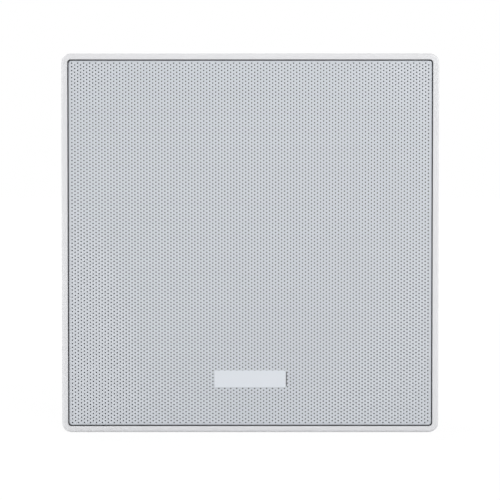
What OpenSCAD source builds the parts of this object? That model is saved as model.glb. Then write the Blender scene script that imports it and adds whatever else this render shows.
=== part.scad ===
// Compact passive two-way loudspeaker: moulded cabinet, flush perforated steel grille,
// 124 mm woofer, 25 mm dome tweeter, crossover and spring terminals.
// Every piece is drawn with the cabinet lying on its back: x to the right, y up the front,
// z from the wall face towards the listener. standing() then turns it upright.

/* [Cabinet] */
// Overall width
cabinet_w = 216; // [210:1:240]
// Overall height
cabinet_h = 217; // [214:1:240]
// Overall depth, wall face to front rim
cabinet_d = 118; // [114:1:150]
// Radius of the four long corners
corner_r = 5.4; // [5:0.2:6.4]
// Thickness of the moulded side walls
wall = 3; // [2.6:0.1:3.4]
// Thickness of the back wall
back_t = 3.2; // [2.6:0.1:4]
// Rounding of the edges round the back
rear_edge_r = 4; // [3:0.2:4.6]
// Depth of the front moulding, rim to parting line
frame_d = 26; // [24:1:30]

/* [Front rim and baffle] */
// Width of the rim that shows round the grille
rim_w = 3.5; // [3.2:0.1:3.8]
// Rounding of the rim's outer edge
rim_edge_r = 1.8; // [1:0.1:2.2]
// Rounding of the rim's inner edge
rim_lip_r = 0.5; // [0.2:0.1:0.8]
// How far the baffle lies behind the rim
baffle_set = 11; // [10:0.5:13]
// Thickness of the baffle
baffle_t = 4; // [3.5:0.1:5]
// Height of the stiffening ribs behind the baffle
baffle_rib_h = 6; // [4:0.5:7]
// Thickness of all moulded ribs
rib_t = 2; // [1.6:0.1:2.6]

/* [Grille] */
// Thickness of the steel sheet
sheet_t = 0.8; // [0.6:0.1:1]
// Gap between grille and rim
grille_gap = 0.6; // [0.4:0.1:0.7]
// How far the grille lies behind the rim
grille_set = 0.6; // [0.2:0.1:0.8]
// Outer radius of the folded edge
fold_r = 1.1; // [1:0.1:1.3]
// Hole spacing up a column, four real holes to one
hole_rise = 8.23; // [7.6:0.01:10]
// Spacing of the columns
hole_run = 6.86; // [6.4:0.01:9]
// Hole diameter, for a quarter of the area open
hole_d = 4.2; // [3:0.1:4.8]
// Width of the plain border round the holes
plain_border = 2; // [1.5:0.1:6]
// Thickness of the black cloth behind the sheet
cloth_t = 0.4; // [0.3:0.1:0.6]
// Width of the plain badge
badge_w = 41; // [30:1:60]
// Height of the badge
badge_h = 9.8; // [8:0.1:14]
// Thickness of the badge
badge_t = 0.6; // [0.4:0.1:1]
// Height of the badge's centre above the cabinet's underside
badge_z = 30.7; // [26:0.1:40]

/* [Woofer] */
// Height of the woofer's axis above the cabinet's underside
woofer_rise = 69; // [67.5:0.1:74]
// Outer radius of the basket's flange
woofer_r = 62; // [58:0.1:63]
// Width of the flange outside the cone's opening
flange_w = 13.5; // [12.5:0.1:14.5]
// Thickness of the pressed basket
basket_t = 1.2; // [1:0.1:1.4]
// Radius of the surround's half roll
roll_r = 4; // [3.4:0.1:4.4]
// Depth of the cone, edge to neck
cone_depth = 15; // [13:0.1:16]
// Radius of the voice coil former, outside
former_r = 13.05; // [12.9:0.01:13.2]
// Length of the voice coil's winding
winding_h = 10; // [8:0.5:12]
// Radius of the ferrite magnet
magnet_r = 42; // [39:0.5:45]
// Thickness of the ferrite magnet
magnet_h = 15; // [12:0.5:18]

/* [Tweeter] */
// Distance of the tweeter's axis below the cabinet's top
tweeter_drop = 36; // [34:0.1:42]
// Radius of the tweeter's faceplate
faceplate_r = 27; // [25:0.1:28]
// Radius of the dome
dome_r = 12.5; // [12.2:0.1:12.6]

/* [Terminals and wall fixings] */
// Height of the terminal cup's centre above the underside
cup_z = 56; // [52:0.5:60]
// Depth of the cup's recess
cup_depth = 22; // [20:0.5:26]
// Radius of the hole that takes the stripped wire
wire_hole_r = 1.6; // [1.2:0.1:1.9]
// Distance of each keyhole from the middle
keyhole_x = 60; // [57:1:66]
// Distance of the keyholes' entries below the cabinet's top
keyhole_drop = 34.5; // [30:0.5:40]
// Radius of a keyhole's round entry
keyhole_r = 4.6; // [4:0.1:5]
// Width of a keyhole's slot
keyhole_slot = 4.8; // [4:0.1:5.4]
// Distance between the two threaded inserts
insert_gap = 60; // [50:1:66]
// Outer radius of an insert
insert_r = 4; // [3.6:0.1:4.4]
// Radius of an insert's threaded bore
insert_bore_r = 2.1; // [1.9:0.05:2.4]

/* [Crossover] */
// Width of the crossover board
board_w = 90; // [90:1:96]
// Height of the crossover board
board_h = 60; // [60:1:62]
// Thickness of the board
board_t = 1.6; // [1.2:0.1:2]
// Height of the posts that carry the board
post_h = 8; // [6:0.5:10]
// Radius of the internal wires
wire_r = 1.1; // [0.8:0.1:1.2]

/* [Hidden] */

$fn = 64;
past = 1;          // how far a cutter runs past the face that it opens
thread_gap = 0.02; // between a screw or insert and its hole
fit_gap = 0.1;     // between a piece and the recess that it drops into
hole_play = 0.3;   // between a screw and the clearance hole that it passes through

// Levels, counted from the wall face
baffle_top = cabinet_d - baffle_set;
baffle_under = baffle_top - baffle_t;
split = cabinet_d - frame_d;
grille_top = cabinet_d - grille_set;
overall_d = max(cabinet_d, grille_top + badge_t);
woofer_y = woofer_rise - cabinet_h / 2;
tweeter_y = cabinet_h / 2 - tweeter_drop;
badge_y = badge_z - cabinet_h / 2;
cup_y = cup_z - cabinet_h / 2;

// Joint between the two cabinet mouldings
reveal = 0.8;      // shadow line at the parting
tongue_s = 1.7;    // from the outer face to the tongue
tongue_h = 2.2;
seal_t = 0.8;      // cord seal above the tongue

// Screws that close the cabinet
well_inset = 8;
well_r = 6;
well_bore_r = 4.2;
well_floor = split - 12;
cabinet_screw_r = 2;
cabinet_screw_head_r = 3.8;
cabinet_screw_head_h = 2.6;
cabinet_screw_bite = 9;
boss_r = 5.5;
well_spots = [for (x = [-1, 1], y = [-1, 0, 1])
  [x * (cabinet_w / 2 - well_inset), y * (cabinet_h / 2 - well_inset)]];

// Grille
grille_w = cabinet_w - 2 * (rim_w + grille_gap);
grille_h = cabinet_h - 2 * (rim_w + grille_gap);
grille_corner = max(corner_r - rim_w - grille_gap, fold_r);
seal_set = 2.5;    // the black seal stops short of the rim's face

// Woofer, with z = 0 at the front of its flange
trim_t = 1.5;
trim_w = 6.4;
seat_seal_t = 0.8;
basket_r = woofer_r - flange_w;
spoke_run = 8;     // how far the spokes slope inwards
ledge_w = 7.5;     // ledge that carries the spider
hub_step = 3.5;
ledge_r = basket_r - spoke_run;
ledge_in = ledge_r - ledge_w;
ledge_drop = 22;
hub_r = ledge_in - hub_step;
hub_drop = 30;
hub_in = 18;
window_h = 8;      // openings between the spokes
window_w = 26;
woofer_hole_r = basket_r + 3.5;
woofer_ring_r = woofer_r + 3.5;
seat_ring_h = 4;
surround_t = 0.7;
surround_lip = 3.6;
lip_seat = 3;      // flange between the basket's mouth and the end of the roll
roll_centre = basket_r + lip_seat - roll_r;
cone_r = roll_centre - roll_r - 0.5;
cone_t = 0.8;
dust_cap_r = 18;
dust_cap_rise = 7;
former_t = 0.3;
former_end = 39;
winding_t = 0.65;
spider_t = 0.5;
spider_waves = 5;
spider_wave_h = 1.1;
spider_r = ledge_r - 3.5;
plate_t = 5;
plate_r = magnet_r - 3;
plate_bore_r = 14.4;
magnet_bore_r = 22;
pole_r = 12.2;
vent_r = 4;
plate_drop = hub_drop + basket_t;
gap_drop = plate_drop + plate_t / 2;
magnet_drop = plate_drop + plate_t;
yoke_drop = magnet_drop + magnet_h;
woofer_screw_pcd_r = woofer_r - 3.3;
woofer_screw_r = 1.75;
woofer_screw_head_r = 3.2;
woofer_screw_head_h = 2.2;
woofer_screw_len = 11;
strip_t = 1.6;
tag_t = 0.8;
tag_w = 4.8;
woofer_tag_x = 7;
woofer_strip_w = 26;
woofer_strip_h = 5;
woofer_tag_in = 3.5;   // from the ledge's inner edge to the near end of a tag
woofer_tag_len = 12;
woofer_tag_end = ledge_in + woofer_tag_in + woofer_tag_len;

// Tweeter, with z = 0 at the front of its faceplate
faceplate_t = 3.5;
tweeter_seal_t = 0.6;
tweeter_screw_pcd_r = faceplate_r - 4;
mouth_r = tweeter_screw_pcd_r - 3.5;
collar_h = 3;
throat_r = 16.4;
dome_rise = 4.4;
dome_t = 0.35;
dome_lip = 1.4;
dome_lip_r = 16.2;
tweeter_former_t = 0.15;
tweeter_former_h = 6.5;
tweeter_winding_t = 0.35;
tweeter_winding_h = 2.4;
pot_r = 16.6;
collar_w = 1.6;
collar_r = pot_r + collar_w;
tweeter_hole_r = collar_r + 0.8;
tweeter_ring_r = faceplate_r + 4;
pot_bore_r = 13.45;
pot_h = 13;
pot_base = 4;
pole_plate_t = 2.5;
pole_plate_r = 12.05;
tweeter_magnet_r = 11.2;
tweeter_screw_r = 1.45;
tweeter_screw_head_r = 2.6;
tweeter_screw_len = 9;
tweeter_tag_x = 8;
tweeter_tag_h = 7;

// Terminal cup, with u counted from the cup's floor towards the wall
cup_flange_w = 78;
cup_flange_h = 58;
cup_flange_t = 2.5;
cup_flange_r = 6;
cup_w = 64;
cup_h = 44;
cup_r = 4;
cup_wall = 2;
cup_seal_t = 0.8;
pad_t = 7;
pad_margin = 4;
cup_screw_r = 1.5;
cup_screw_head_r = 2.9;
cup_screw_len = 11;
cup_screw_inset = 4.5;
bay_x = 11;
bay_w = 15;
cheek_t = 3;
cheek_u = 9;
pivot_y = 10;
pivot_u = 6;
pin_r = 1.5;
pin_gap = 0.06;
hub_lever_r = 2.8;
lever_w = 14.2;
lever_t = 2.4;
lever_tip_y = -2;
lever_tip_u = 11;
wire_block_y = -12;
wire_block_h = 9;
wire_block_u = 5.5;
wire_hole_depth = 6;
strip_w = 8;
strip_thick = 0.8;
strip_u = 4.5;
strip_tail = 6;

// Wall fixings
keyhole_y = cabinet_h / 2 - keyhole_drop;
keyhole_rise = 9;
keyhole_box_w = 18;
keyhole_box_wall = 2;
keyhole_room = 7;
insert_y = 8;
insert_h = 10;
insert_boss_r = 7;
back_rib_h = 5;

// Crossover
board_drop = 50.5; // from the cabinet's top to the board's middle
board_y = cabinet_h / 2 - board_drop;
board_low = board_y - board_h / 2;
board_high = board_y + board_h / 2;
board_hole_in = 5;
post_r = 3.4;
board_screw_r = 1.4;
board_screw_head_r = 2.7;
board_screw_head_h = 1.8;
board_screw_len = 7;
board_face = back_t + post_h + board_t;
board_spots = [for (x = [-1, 1], y = [-1, 1])
  [x * (board_w / 2 - board_hole_in), board_y + y * (board_h / 2 - board_hole_in)]];
bass_coil_r = 15;
bass_coil_bore = 6.5;
bass_coil_h = 20;
bass_coil = [-board_w / 2 + bass_coil_r + 4.5, board_low + bass_coil_r + 2.5];
treble_coil_r = 12;
treble_coil_bore = 5;
treble_coil_h = 14;
treble_coil = [board_w / 2 - treble_coil_r - 8, board_low + treble_coil_r + 3];
bobbin_t = 1.5;
bobbin_wall = 1.2;
capacitor_r = 6.5;
capacitor_len = 34;
capacitor_inset = 7;   // from the board's left edge
small_capacitor_r = 6;
small_capacitor_len = 30;
small_capacitor_inset = 10; // from the board's right edge
capacitor_drop = 15;   // from the board's top edge to the middle of the left capacitor
small_capacitor_drop = 17.5;
capacitor_flat = 0.4;  // the cans are glued down along a narrow flat
resistor_len = 30;
resistor_w = 8;
resistor_drop = 5.5;

// Damping
mat_t = 9;
mat_from = 12;
mat_to = split - 4;
mat_end = 18;
mat_play = 0.5;

// Helpers

function unit(v) = v / norm(v);
function side_of(a, b) = let (u = unit(b - a)) [-u[1], u[0]];
// One point of a path moved sideways by d, mitred at its bends
function beside(p, i, d) =
  i == 0 ? p[0] + d * side_of(p[0], p[1]) :
  i == len(p) - 1 ? p[i] + d * side_of(p[i - 1], p[i]) :
  let (a = side_of(p[i - 1], p[i]), b = side_of(p[i], p[i + 1]), m = unit(a + b))
  p[i] + m * d / (m * a);
// Outline of a sheet of thickness t that follows a path
function sheet_outline(p, t) =
  concat(p, [for (i = [len(p) - 1 : -1 : 0]) beside(p, i, t)]);

module standing() {
  translate([0, overall_d / 2, cabinet_h / 2]) rotate([90, 0, 0]) children();
}

module rounded_rect(w, h, r) {
  square([w - 2 * r, h], center = true);
  square([w, h - 2 * r], center = true);
  for (x = [-1, 1], y = [-1, 1])
    translate([x * (w / 2 - r), y * (h / 2 - r)]) circle(r = r);
}

// Carries a section round a rounded rectangle: section x runs inwards from the outer face
module sweep_round(w, h, r) {
  for (turn = [0 : 3]) {
    across = turn % 2 == 0 ? w : h;
    along = turn % 2 == 0 ? h : w;
    rotate([0, 0, 90 * turn]) {
      translate([across / 2, 0, 0]) rotate([90, 0, 0])
        linear_extrude(along - 2 * r, center = true) mirror([1, 0]) children();
      translate([across / 2 - r, along / 2 - r, 0])
        rotate_extrude(angle = 90) translate([r, 0]) mirror([1, 0]) children();
    }
  }
}

// The square corner that a rounding of radius r takes off at the origin
module corner_waste(r) {
  difference() {
    translate([-past, -past]) square(r + past);
    translate([r, r]) circle(r = r);
  }
}

module ring(outer, inner, h) {
  difference() {
    cylinder(r = outer, h = h);
    translate([0, 0, -past]) cylinder(r = inner, h = h + 2 * past);
  }
}

module spun_sheet(path, t) {
  rotate_extrude($fn = 96) polygon(sheet_outline(path, t));
}

module rod_at(x, y, from, to, r) {
  translate([x, y, from]) cylinder(r = r, h = to - from);
}

module at_woofer() {
  standing() translate([0, woofer_y, baffle_top]) children();
}

module at_tweeter() {
  standing() translate([0, tweeter_y, baffle_top]) children();
}

// Four spots round a driver, on the diagonals
module on_diagonals(r) {
  for (turn = [0 : 3]) rotate([0, 0, 45 + 90 * turn]) translate([r, 0, 0]) children();
}

// Screw that points towards +z, with its head under z = 0
module pan_screw(r, head_r, head_h, len) {
  cylinder(r = r, h = len);
  difference() {
    translate([0, 0, -head_h]) cylinder(r1 = head_r * 0.8, r2 = head_r, h = head_h);
    translate([0, 0, -head_h - past]) cylinder(r = head_r * 0.42, h = head_h * 0.55 + past, $fn = 6);
  }
}

// Cabinet

module rim_section() {
  difference() {
    union() {
      translate([0, split]) square([wall, baffle_top - split]);
      translate([0, baffle_under]) square([rim_w, cabinet_d - baffle_under]);
    }
    translate([0, cabinet_d]) mirror([0, 1]) corner_waste(rim_edge_r);
    translate([rim_w, cabinet_d]) mirror([1, 1]) corner_waste(rim_lip_r);
  }
}

// Groove behind the rim that takes the rear moulding's tongue and the cord seal
module groove_section() {
  translate([tongue_s - fit_gap, split - past])
    square([wall - tongue_s + 2 * fit_gap, past + tongue_h + seal_t]);
}

module baffle_ribs() {
  rib_from = baffle_under - baffle_rib_h;
  reach_x = cabinet_w / 2 - wall + past;
  for (x = [-1, 1]) {
    // beside the woofer and beside the tweeter
    for (y = [woofer_y, tweeter_y])
      translate([x > 0 ? 0 : -reach_x, y - rib_t / 2, rib_from])
        cube([reach_x, rib_t, baffle_rib_h + past]);
    // down the two sides
    translate([x * 80 - rib_t / 2, -cabinet_h / 2 + wall - past, rib_from])
      cube([rib_t, cabinet_h - 2 * wall + 2 * past, baffle_rib_h + past]);
  }
}

module front_frame() {
  color("white") standing() difference() {
    union() {
      sweep_round(cabinet_w, cabinet_h, corner_r) rim_section();
      translate([0, 0, baffle_under]) linear_extrude(baffle_t)
        rounded_rect(cabinet_w - 2 * wall + 1, cabinet_h - 2 * wall + 1, corner_r - wall + 0.5);
      baffle_ribs();
      rod_at(0, woofer_y, baffle_under - seat_ring_h, baffle_under + past, woofer_ring_r);
      rod_at(0, tweeter_y, baffle_under - seat_ring_h, baffle_under + past, tweeter_ring_r);
      for (p = well_spots) rod_at(p[0], p[1], split, baffle_under + past, boss_r);
    }
    sweep_round(cabinet_w, cabinet_h, corner_r) groove_section();
    translate([0, woofer_y, baffle_top]) {
      rod_at(0, 0, -basket_t - seat_seal_t, past, woofer_r + fit_gap);
      rod_at(0, 0, -baffle_t - baffle_rib_h - past, past, woofer_hole_r);
      on_diagonals(woofer_screw_pcd_r)
        rod_at(0, 0, trim_t - woofer_screw_len - 0.5, past, woofer_screw_r + thread_gap);
    }
    translate([0, tweeter_y, baffle_top]) {
      rod_at(0, 0, -faceplate_t - tweeter_seal_t, past, faceplate_r + fit_gap);
      rod_at(0, 0, -baffle_t - baffle_rib_h - past, past, tweeter_hole_r);
      on_diagonals(tweeter_screw_pcd_r)
        rod_at(0, 0, -tweeter_screw_len - 0.5, past, tweeter_screw_r + thread_gap);
    }
    for (p = well_spots)
      rod_at(p[0], p[1], split - past, split + cabinet_screw_bite + 0.6, cabinet_screw_r + thread_gap);
  }
}

module shell_section() {
  difference() {
    union() {
      square([wall, split - reveal]);
      translate([reveal, 0]) square([wall - reveal, split]);
      translate([tongue_s, 0]) square([wall - tongue_s, split + tongue_h]);
      square([rear_edge_r, back_t]);
    }
    corner_waste(rear_edge_r);
  }
}

module keyhole_room_box(grow) {
  translate([0, keyhole_rise / 2, back_t]) linear_extrude(keyhole_room + grow)
    rounded_rect(keyhole_box_w - 2 * (keyhole_box_wall - grow),
      keyhole_box_w + keyhole_rise - 2 * (keyhole_box_wall - grow), 2 + grow);
}

module keyhole_cut() {
  translate([0, 0, -past]) {
    cylinder(r = keyhole_r, h = back_t + 2 * past);
    translate([-keyhole_slot / 2, 0, 0]) cube([keyhole_slot, keyhole_rise, back_t + 2 * past]);
    translate([0, keyhole_rise, 0]) cylinder(d = keyhole_slot, h = back_t + 2 * past);
  }
}

module rear_cabinet() {
  back_ribs = [insert_y - 22, insert_y + 12];
  color("white") standing() difference() {
    union() {
      sweep_round(cabinet_w, cabinet_h, corner_r) shell_section();
      linear_extrude(back_t)
        rounded_rect(cabinet_w - 2 * rear_edge_r + 1, cabinet_h - 2 * rear_edge_r + 1,
          corner_r - rear_edge_r + 0.5);
      for (p = well_spots) rod_at(p[0], p[1], back_t - 0.5, split, well_r);
      for (y = back_ribs)
        translate([-cabinet_w / 2 + wall - past, y - rib_t / 2, back_t - 0.5])
          cube([cabinet_w - 2 * wall + 2 * past, rib_t, back_rib_h]);
      translate([0, cup_y, 0]) {
        linear_extrude(pad_t)
          rounded_rect(cup_flange_w + 2 * pad_margin, cup_flange_h + 2 * pad_margin,
            cup_flange_r + pad_margin);
        cup_screw_spots() cylinder(r = 4, h = cup_screw_len + 2);
      }
      for (x = [-1, 1]) {
        translate([x * keyhole_x, keyhole_y, 0]) keyhole_room_box(keyhole_box_wall);
        rod_at(x * insert_gap / 2, insert_y, back_t - 0.5, insert_h + 3, insert_boss_r);
      }
      for (p = board_spots) rod_at(p[0], p[1], back_t - 0.5, back_t + post_h, post_r);
    }
    for (p = well_spots) {
      rod_at(p[0], p[1], -past, well_floor, well_bore_r);
      rod_at(p[0], p[1], well_floor - past, split + past, cabinet_screw_r + hole_play);
    }
    translate([0, cup_y, -past]) {
      linear_extrude(past + cup_flange_t + cup_seal_t)
        rounded_rect(cup_flange_w + 2 * fit_gap, cup_flange_h + 2 * fit_gap, cup_flange_r + fit_gap);
      linear_extrude(pad_t + 2 * past) rounded_rect(cup_w + 1, cup_h + 1, cup_r + 0.5);
      cup_screw_spots() cylinder(r = cup_screw_r + thread_gap, h = cup_screw_len + past + 0.5);
    }
    for (x = [-1, 1]) {
      translate([x * keyhole_x, keyhole_y, 0]) {
        keyhole_room_box(0);
        keyhole_cut();
      }
      rod_at(x * insert_gap / 2, insert_y, -past, insert_h + 0.5, insert_r + thread_gap);
    }
    for (p = board_spots)
      rod_at(p[0], p[1], back_t, back_t + post_h + past, board_screw_r + thread_gap);
  }
}

module cabinet_gasket() {
  color("dimgray") standing() sweep_round(cabinet_w, cabinet_h, corner_r)
    translate([tongue_s, split + tongue_h]) square([wall - tongue_s, seal_t]);
}

module cabinet_screws() {
  color("silver") standing() for (p = well_spots)
    translate([p[0], p[1], well_floor])
      pan_screw(cabinet_screw_r, cabinet_screw_head_r, cabinet_screw_head_h,
        split - well_floor + cabinet_screw_bite);
}

module threaded_inserts() {
  color("gold") standing() for (x = [-1, 1]) translate([x * insert_gap / 2, insert_y, 0])
    difference() {
      union() {
        cylinder(r = insert_r - 0.5, h = insert_h);
        cylinder(r = insert_r, h = insert_h * 0.4);
        translate([0, 0, insert_h * 0.6]) cylinder(r = insert_r, h = insert_h * 0.4);
      }
      translate([0, 0, -past]) cylinder(r = insert_bore_r, h = insert_h + 2 * past);
    }
}

// Grille

module grille_section() {
  difference() {
    union() {
      translate([0, baffle_top]) square([sheet_t, grille_top - baffle_top]);
      translate([0, grille_top - fold_r]) square([fold_r, fold_r]);
    }
    translate([0, grille_top]) mirror([0, 1]) corner_waste(fold_r);
    if (fold_r > sheet_t)
      translate([sheet_t, grille_top - fold_r - past]) square([fold_r, fold_r - sheet_t + past]);
  }
}

module grille_holes() {
  half_w = grille_w / 2 - plain_border - hole_d / 2;
  half_h = grille_h / 2 - plain_border - hole_d / 2;
  columns = floor(half_w / hole_run);
  rows = floor(half_h / hole_rise);
  for (c = [-columns : columns]) {
    shift = c % 2 == 0 ? 0 : hole_rise / 2;
    for (r = [-rows : rows])
      if (abs(r * hole_rise + shift) <= half_h)
        translate([c * hole_run, r * hole_rise + shift]) circle(d = hole_d, $fn = 16);
  }
}

module grille() {
  color("gainsboro") standing() {
    sweep_round(grille_w, grille_h, grille_corner) grille_section();
    translate([0, 0, grille_top - sheet_t]) linear_extrude(sheet_t) difference() {
      rounded_rect(grille_w - 2 * fold_r + 0.2, grille_h - 2 * fold_r + 0.2, 0.2);
      grille_holes();
    }
  }
}

module grille_cloth() {
  inset = 2 * (sheet_t + 0.2);
  color("dimgray") standing() translate([0, 0, grille_top - sheet_t - cloth_t])
    linear_extrude(cloth_t) square([grille_w - inset, grille_h - inset], center = true);
}

module grille_seal() {
  color("black") standing()
    sweep_round(grille_w + 2 * grille_gap, grille_h + 2 * grille_gap, grille_corner + grille_gap)
      translate([0, baffle_top]) square([grille_gap, cabinet_d - seal_set - baffle_top]);
}

module badge() {
  color("whitesmoke") standing() translate([0, badge_y, grille_top])
    linear_extrude(badge_t) rounded_rect(badge_w, badge_h, 0.5);
}

// Woofer

basket_path = [[woofer_r, 0], [basket_r, 0], [basket_r, -ledge_drop / 2], [ledge_r, -ledge_drop],
  [ledge_in, -ledge_drop], [hub_r, -hub_drop], [hub_in, -hub_drop]];

module woofer_basket() {
  windows = 6;
  color("dimgray") at_woofer() difference() {
    spun_sheet(basket_path, basket_t);
    // openings between the spokes, so that the back of the cone can breathe
    for (n = [0 : windows - 1]) rotate([0, 0, (n + 0.5) * 360 / windows])
      translate([ledge_r - past, -window_w / 2, -ledge_drop + 2.5])
        cube([spoke_run + 2 * past, window_w, window_h]);
    on_diagonals(woofer_screw_pcd_r) rod_at(0, 0, -basket_t - past, past, woofer_screw_r + hole_play);
  }
}

module woofer_seat_gasket() {
  color("black") at_woofer() translate([0, 0, -basket_t - seat_seal_t]) difference() {
    ring(woofer_r, woofer_hole_r + 0.5, seat_seal_t);
    on_diagonals(woofer_screw_pcd_r) rod_at(0, 0, -past, seat_seal_t + past, woofer_screw_r + hole_play);
  }
}

module woofer_trim_ring() {
  color("black") at_woofer() difference() {
    ring(woofer_r, woofer_r - trim_w, trim_t);
    on_diagonals(woofer_screw_pcd_r) rod_at(0, 0, -past, trim_t + past, woofer_screw_r + hole_play);
  }
}

module woofer_surround() {
  color("black") at_woofer() rotate_extrude($fn = 96) {
    translate([roll_centre + roll_r - surround_t, 0]) square([surround_lip + surround_t, surround_t]);
    translate([cone_r - surround_lip, 0]) square([surround_lip + 0.5 + surround_t, surround_t]);
    difference() {
      translate([roll_centre, 0]) circle(r = roll_r);
      translate([roll_centre, 0]) circle(r = roll_r - surround_t);
      translate([roll_centre - roll_r - past, -roll_r - past]) square([2 * (roll_r + past), roll_r + past]);
    }
  }
}

// Front side of the cone, from the flat rim to its neck, a little bowed
cone_mouth_r = cone_r - surround_lip;
function cone_point(t) = [
  cone_mouth_r + (former_r - cone_mouth_r) * t,
  -cone_depth * (0.72 * t + 0.28 * t * t)];
cone_steps = 10;

module woofer_cone() {
  color([0.16, 0.16, 0.17]) at_woofer() difference() {
    spun_sheet(concat([[cone_r + 0.3, 0]],
      [for (i = [0 : cone_steps]) cone_point(i / cone_steps)]), cone_t);
    translate([0, 0, -cone_depth - 4]) cylinder(r = former_r, h = cone_depth);
  }
}

module woofer_dust_cap() {
  // sphere through the cap's rim, cut off where it meets the cone
  ball_r = (dust_cap_r * dust_cap_r + dust_cap_rise * dust_cap_rise) / (2 * dust_cap_rise);
  t = (cone_mouth_r - dust_cap_r) / (cone_mouth_r - former_r);
  rim = cone_point(t)[1] + 0.3;
  color([0.12, 0.12, 0.13]) at_woofer() translate([0, 0, rim]) rotate_extrude($fn = 96)
    difference() {
      intersection() {
        translate([0, dust_cap_rise - ball_r]) circle(r = ball_r, $fn = 128);
        square([dust_cap_r, dust_cap_rise + past]);
      }
      translate([0, dust_cap_rise - ball_r]) circle(r = ball_r - 0.6, $fn = 128);
    }
}

module woofer_spider() {
  inner = former_r + 2;
  outer = ledge_in - 0.5;
  steps = spider_waves * 6;
  level = -ledge_drop + spider_t;
  path = concat([[spider_r, level], [outer, level]],
    [for (i = [1 : steps - 1]) let (t = i / steps)
      [outer + (inner - outer) * t, level + spider_wave_h * sin(360 * spider_waves * t)]],
    [[inner, level], [former_r, level]]);
  color("khaki") at_woofer() spun_sheet(path, spider_t);
}

module woofer_coil_former() {
  top = cone_depth - 2;
  color("peru") at_woofer() translate([0, 0, -former_end])
    ring(former_r, former_r - former_t, former_end - top);
}

module woofer_voice_coil() {
  color("orangered") at_woofer() translate([0, 0, -gap_drop - winding_h / 2])
    ring(former_r + winding_t, former_r, winding_h);
}

module woofer_top_plate() {
  color("silver") at_woofer() translate([0, 0, -magnet_drop]) ring(plate_r, plate_bore_r, plate_t);
}

module woofer_magnet() {
  color("dimgray") at_woofer() translate([0, 0, -yoke_drop]) ring(magnet_r, magnet_bore_r, magnet_h);
}

module woofer_yoke() {
  color("silver") at_woofer() difference() {
    union() {
      translate([0, 0, -yoke_drop - plate_t]) cylinder(r = plate_r, h = plate_t);
      translate([0, 0, -yoke_drop - past]) cylinder(r = pole_r, h = yoke_drop + past - plate_drop);
    }
    translate([0, 0, -yoke_drop - plate_t - past]) cylinder(r = vent_r, h = yoke_drop + plate_t + past);
  }
}

module woofer_tag_strip() {
  color("peru") at_woofer() translate([-woofer_strip_w / 2, ledge_in + 2.5, -ledge_drop - basket_t - strip_t])
    cube([woofer_strip_w, woofer_strip_h, strip_t]);
}

module woofer_tags() {
  color("silver") at_woofer() for (x = [-1, 1])
    translate([x * woofer_tag_x - tag_w / 2, ledge_in + woofer_tag_in,
        -ledge_drop - basket_t - strip_t - tag_t])
      cube([tag_w, woofer_tag_len, tag_t]);
}

module woofer_screws() {
  color([0.2, 0.2, 0.2]) at_woofer() on_diagonals(woofer_screw_pcd_r)
    translate([0, 0, trim_t]) mirror([0, 0, 1])
      pan_screw(woofer_screw_r, woofer_screw_head_r, woofer_screw_head_h, woofer_screw_len);
}

// Tweeter

module tweeter_faceplate() {
  under = -faceplate_t;
  color([0.15, 0.15, 0.16]) at_tweeter() difference() {
    union() {
      translate([0, 0, under]) cylinder(r = faceplate_r, h = faceplate_t);
      translate([0, 0, under - collar_h]) cylinder(r = collar_r, h = collar_h + past);
    }
    // flared mouth, throat and the seat of the dome and pot
    translate([0, 0, under + 0.5]) cylinder(r1 = throat_r - 1, r2 = mouth_r, h = faceplate_t - 0.5);
    translate([0, 0, 0]) cylinder(r = mouth_r, h = past);
    rod_at(0, 0, under - collar_h - past, under + 0.6, throat_r - 1);
    rod_at(0, 0, under - collar_h - past, dome_seat + dome_t, dome_lip_r + fit_gap);
    rod_at(0, 0, under - collar_h - past, pot_face, pot_r + fit_gap);
    on_diagonals(tweeter_screw_pcd_r) {
      rod_at(0, 0, under - past, past, tweeter_screw_r + hole_play);
      translate([0, 0, -1.7])
        cylinder(r1 = tweeter_screw_r + hole_play, r2 = tweeter_screw_head_r + hole_play, h = 1.71);
    }
  }
}

// Level of the dome's glued lip and of the pot's face
pot_face = -faceplate_t - collar_h + 1;
dome_seat = pot_face + 0.3;

module tweeter_gasket() {
  color("black") at_tweeter() translate([0, 0, -faceplate_t - tweeter_seal_t]) difference() {
    ring(faceplate_r, tweeter_hole_r + 0.5, tweeter_seal_t);
    on_diagonals(tweeter_screw_pcd_r)
      rod_at(0, 0, -past, tweeter_seal_t + past, tweeter_screw_r + hole_play);
  }
}

module tweeter_dome() {
  ball_r = (dome_r * dome_r + dome_rise * dome_rise) / (2 * dome_rise);
  roll = (dome_lip_r - dome_lip - dome_r) / 2;
  color("dimgray") at_tweeter() translate([0, 0, dome_seat]) rotate_extrude($fn = 96) {
    // cap
    difference() {
      intersection() {
        translate([0, dome_rise - ball_r]) circle(r = ball_r, $fn = 128);
        square([dome_r, dome_rise + past]);
      }
      translate([0, dome_rise - ball_r]) circle(r = ball_r - dome_t, $fn = 128);
    }
    // half roll between the cap and the glued lip
    difference() {
      translate([dome_r + roll, 0]) circle(r = roll);
      translate([dome_r + roll, 0]) circle(r = roll - dome_t);
      translate([dome_r, -roll - past]) square([2 * roll, roll + past]);
    }
    translate([dome_r + 2 * roll - dome_t, 0]) square([dome_lip + dome_t, dome_t]);
  }
}

module tweeter_coil_former() {
  color("peru") at_tweeter() translate([0, 0, dome_seat - tweeter_former_h])
    ring(dome_r, dome_r - tweeter_former_t, tweeter_former_h);
}

module tweeter_voice_coil() {
  color("orangered") at_tweeter()
    translate([0, 0, pot_face - pole_plate_t / 2 - tweeter_winding_h / 2])
      ring(dome_r + tweeter_winding_t, dome_r, tweeter_winding_h);
}

module tweeter_pot() {
  color("silver") at_tweeter() translate([0, 0, pot_face - pot_h]) difference() {
    cylinder(r = pot_r, h = pot_h);
    translate([0, 0, pot_base]) cylinder(r = pot_bore_r, h = pot_h);
  }
}

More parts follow.
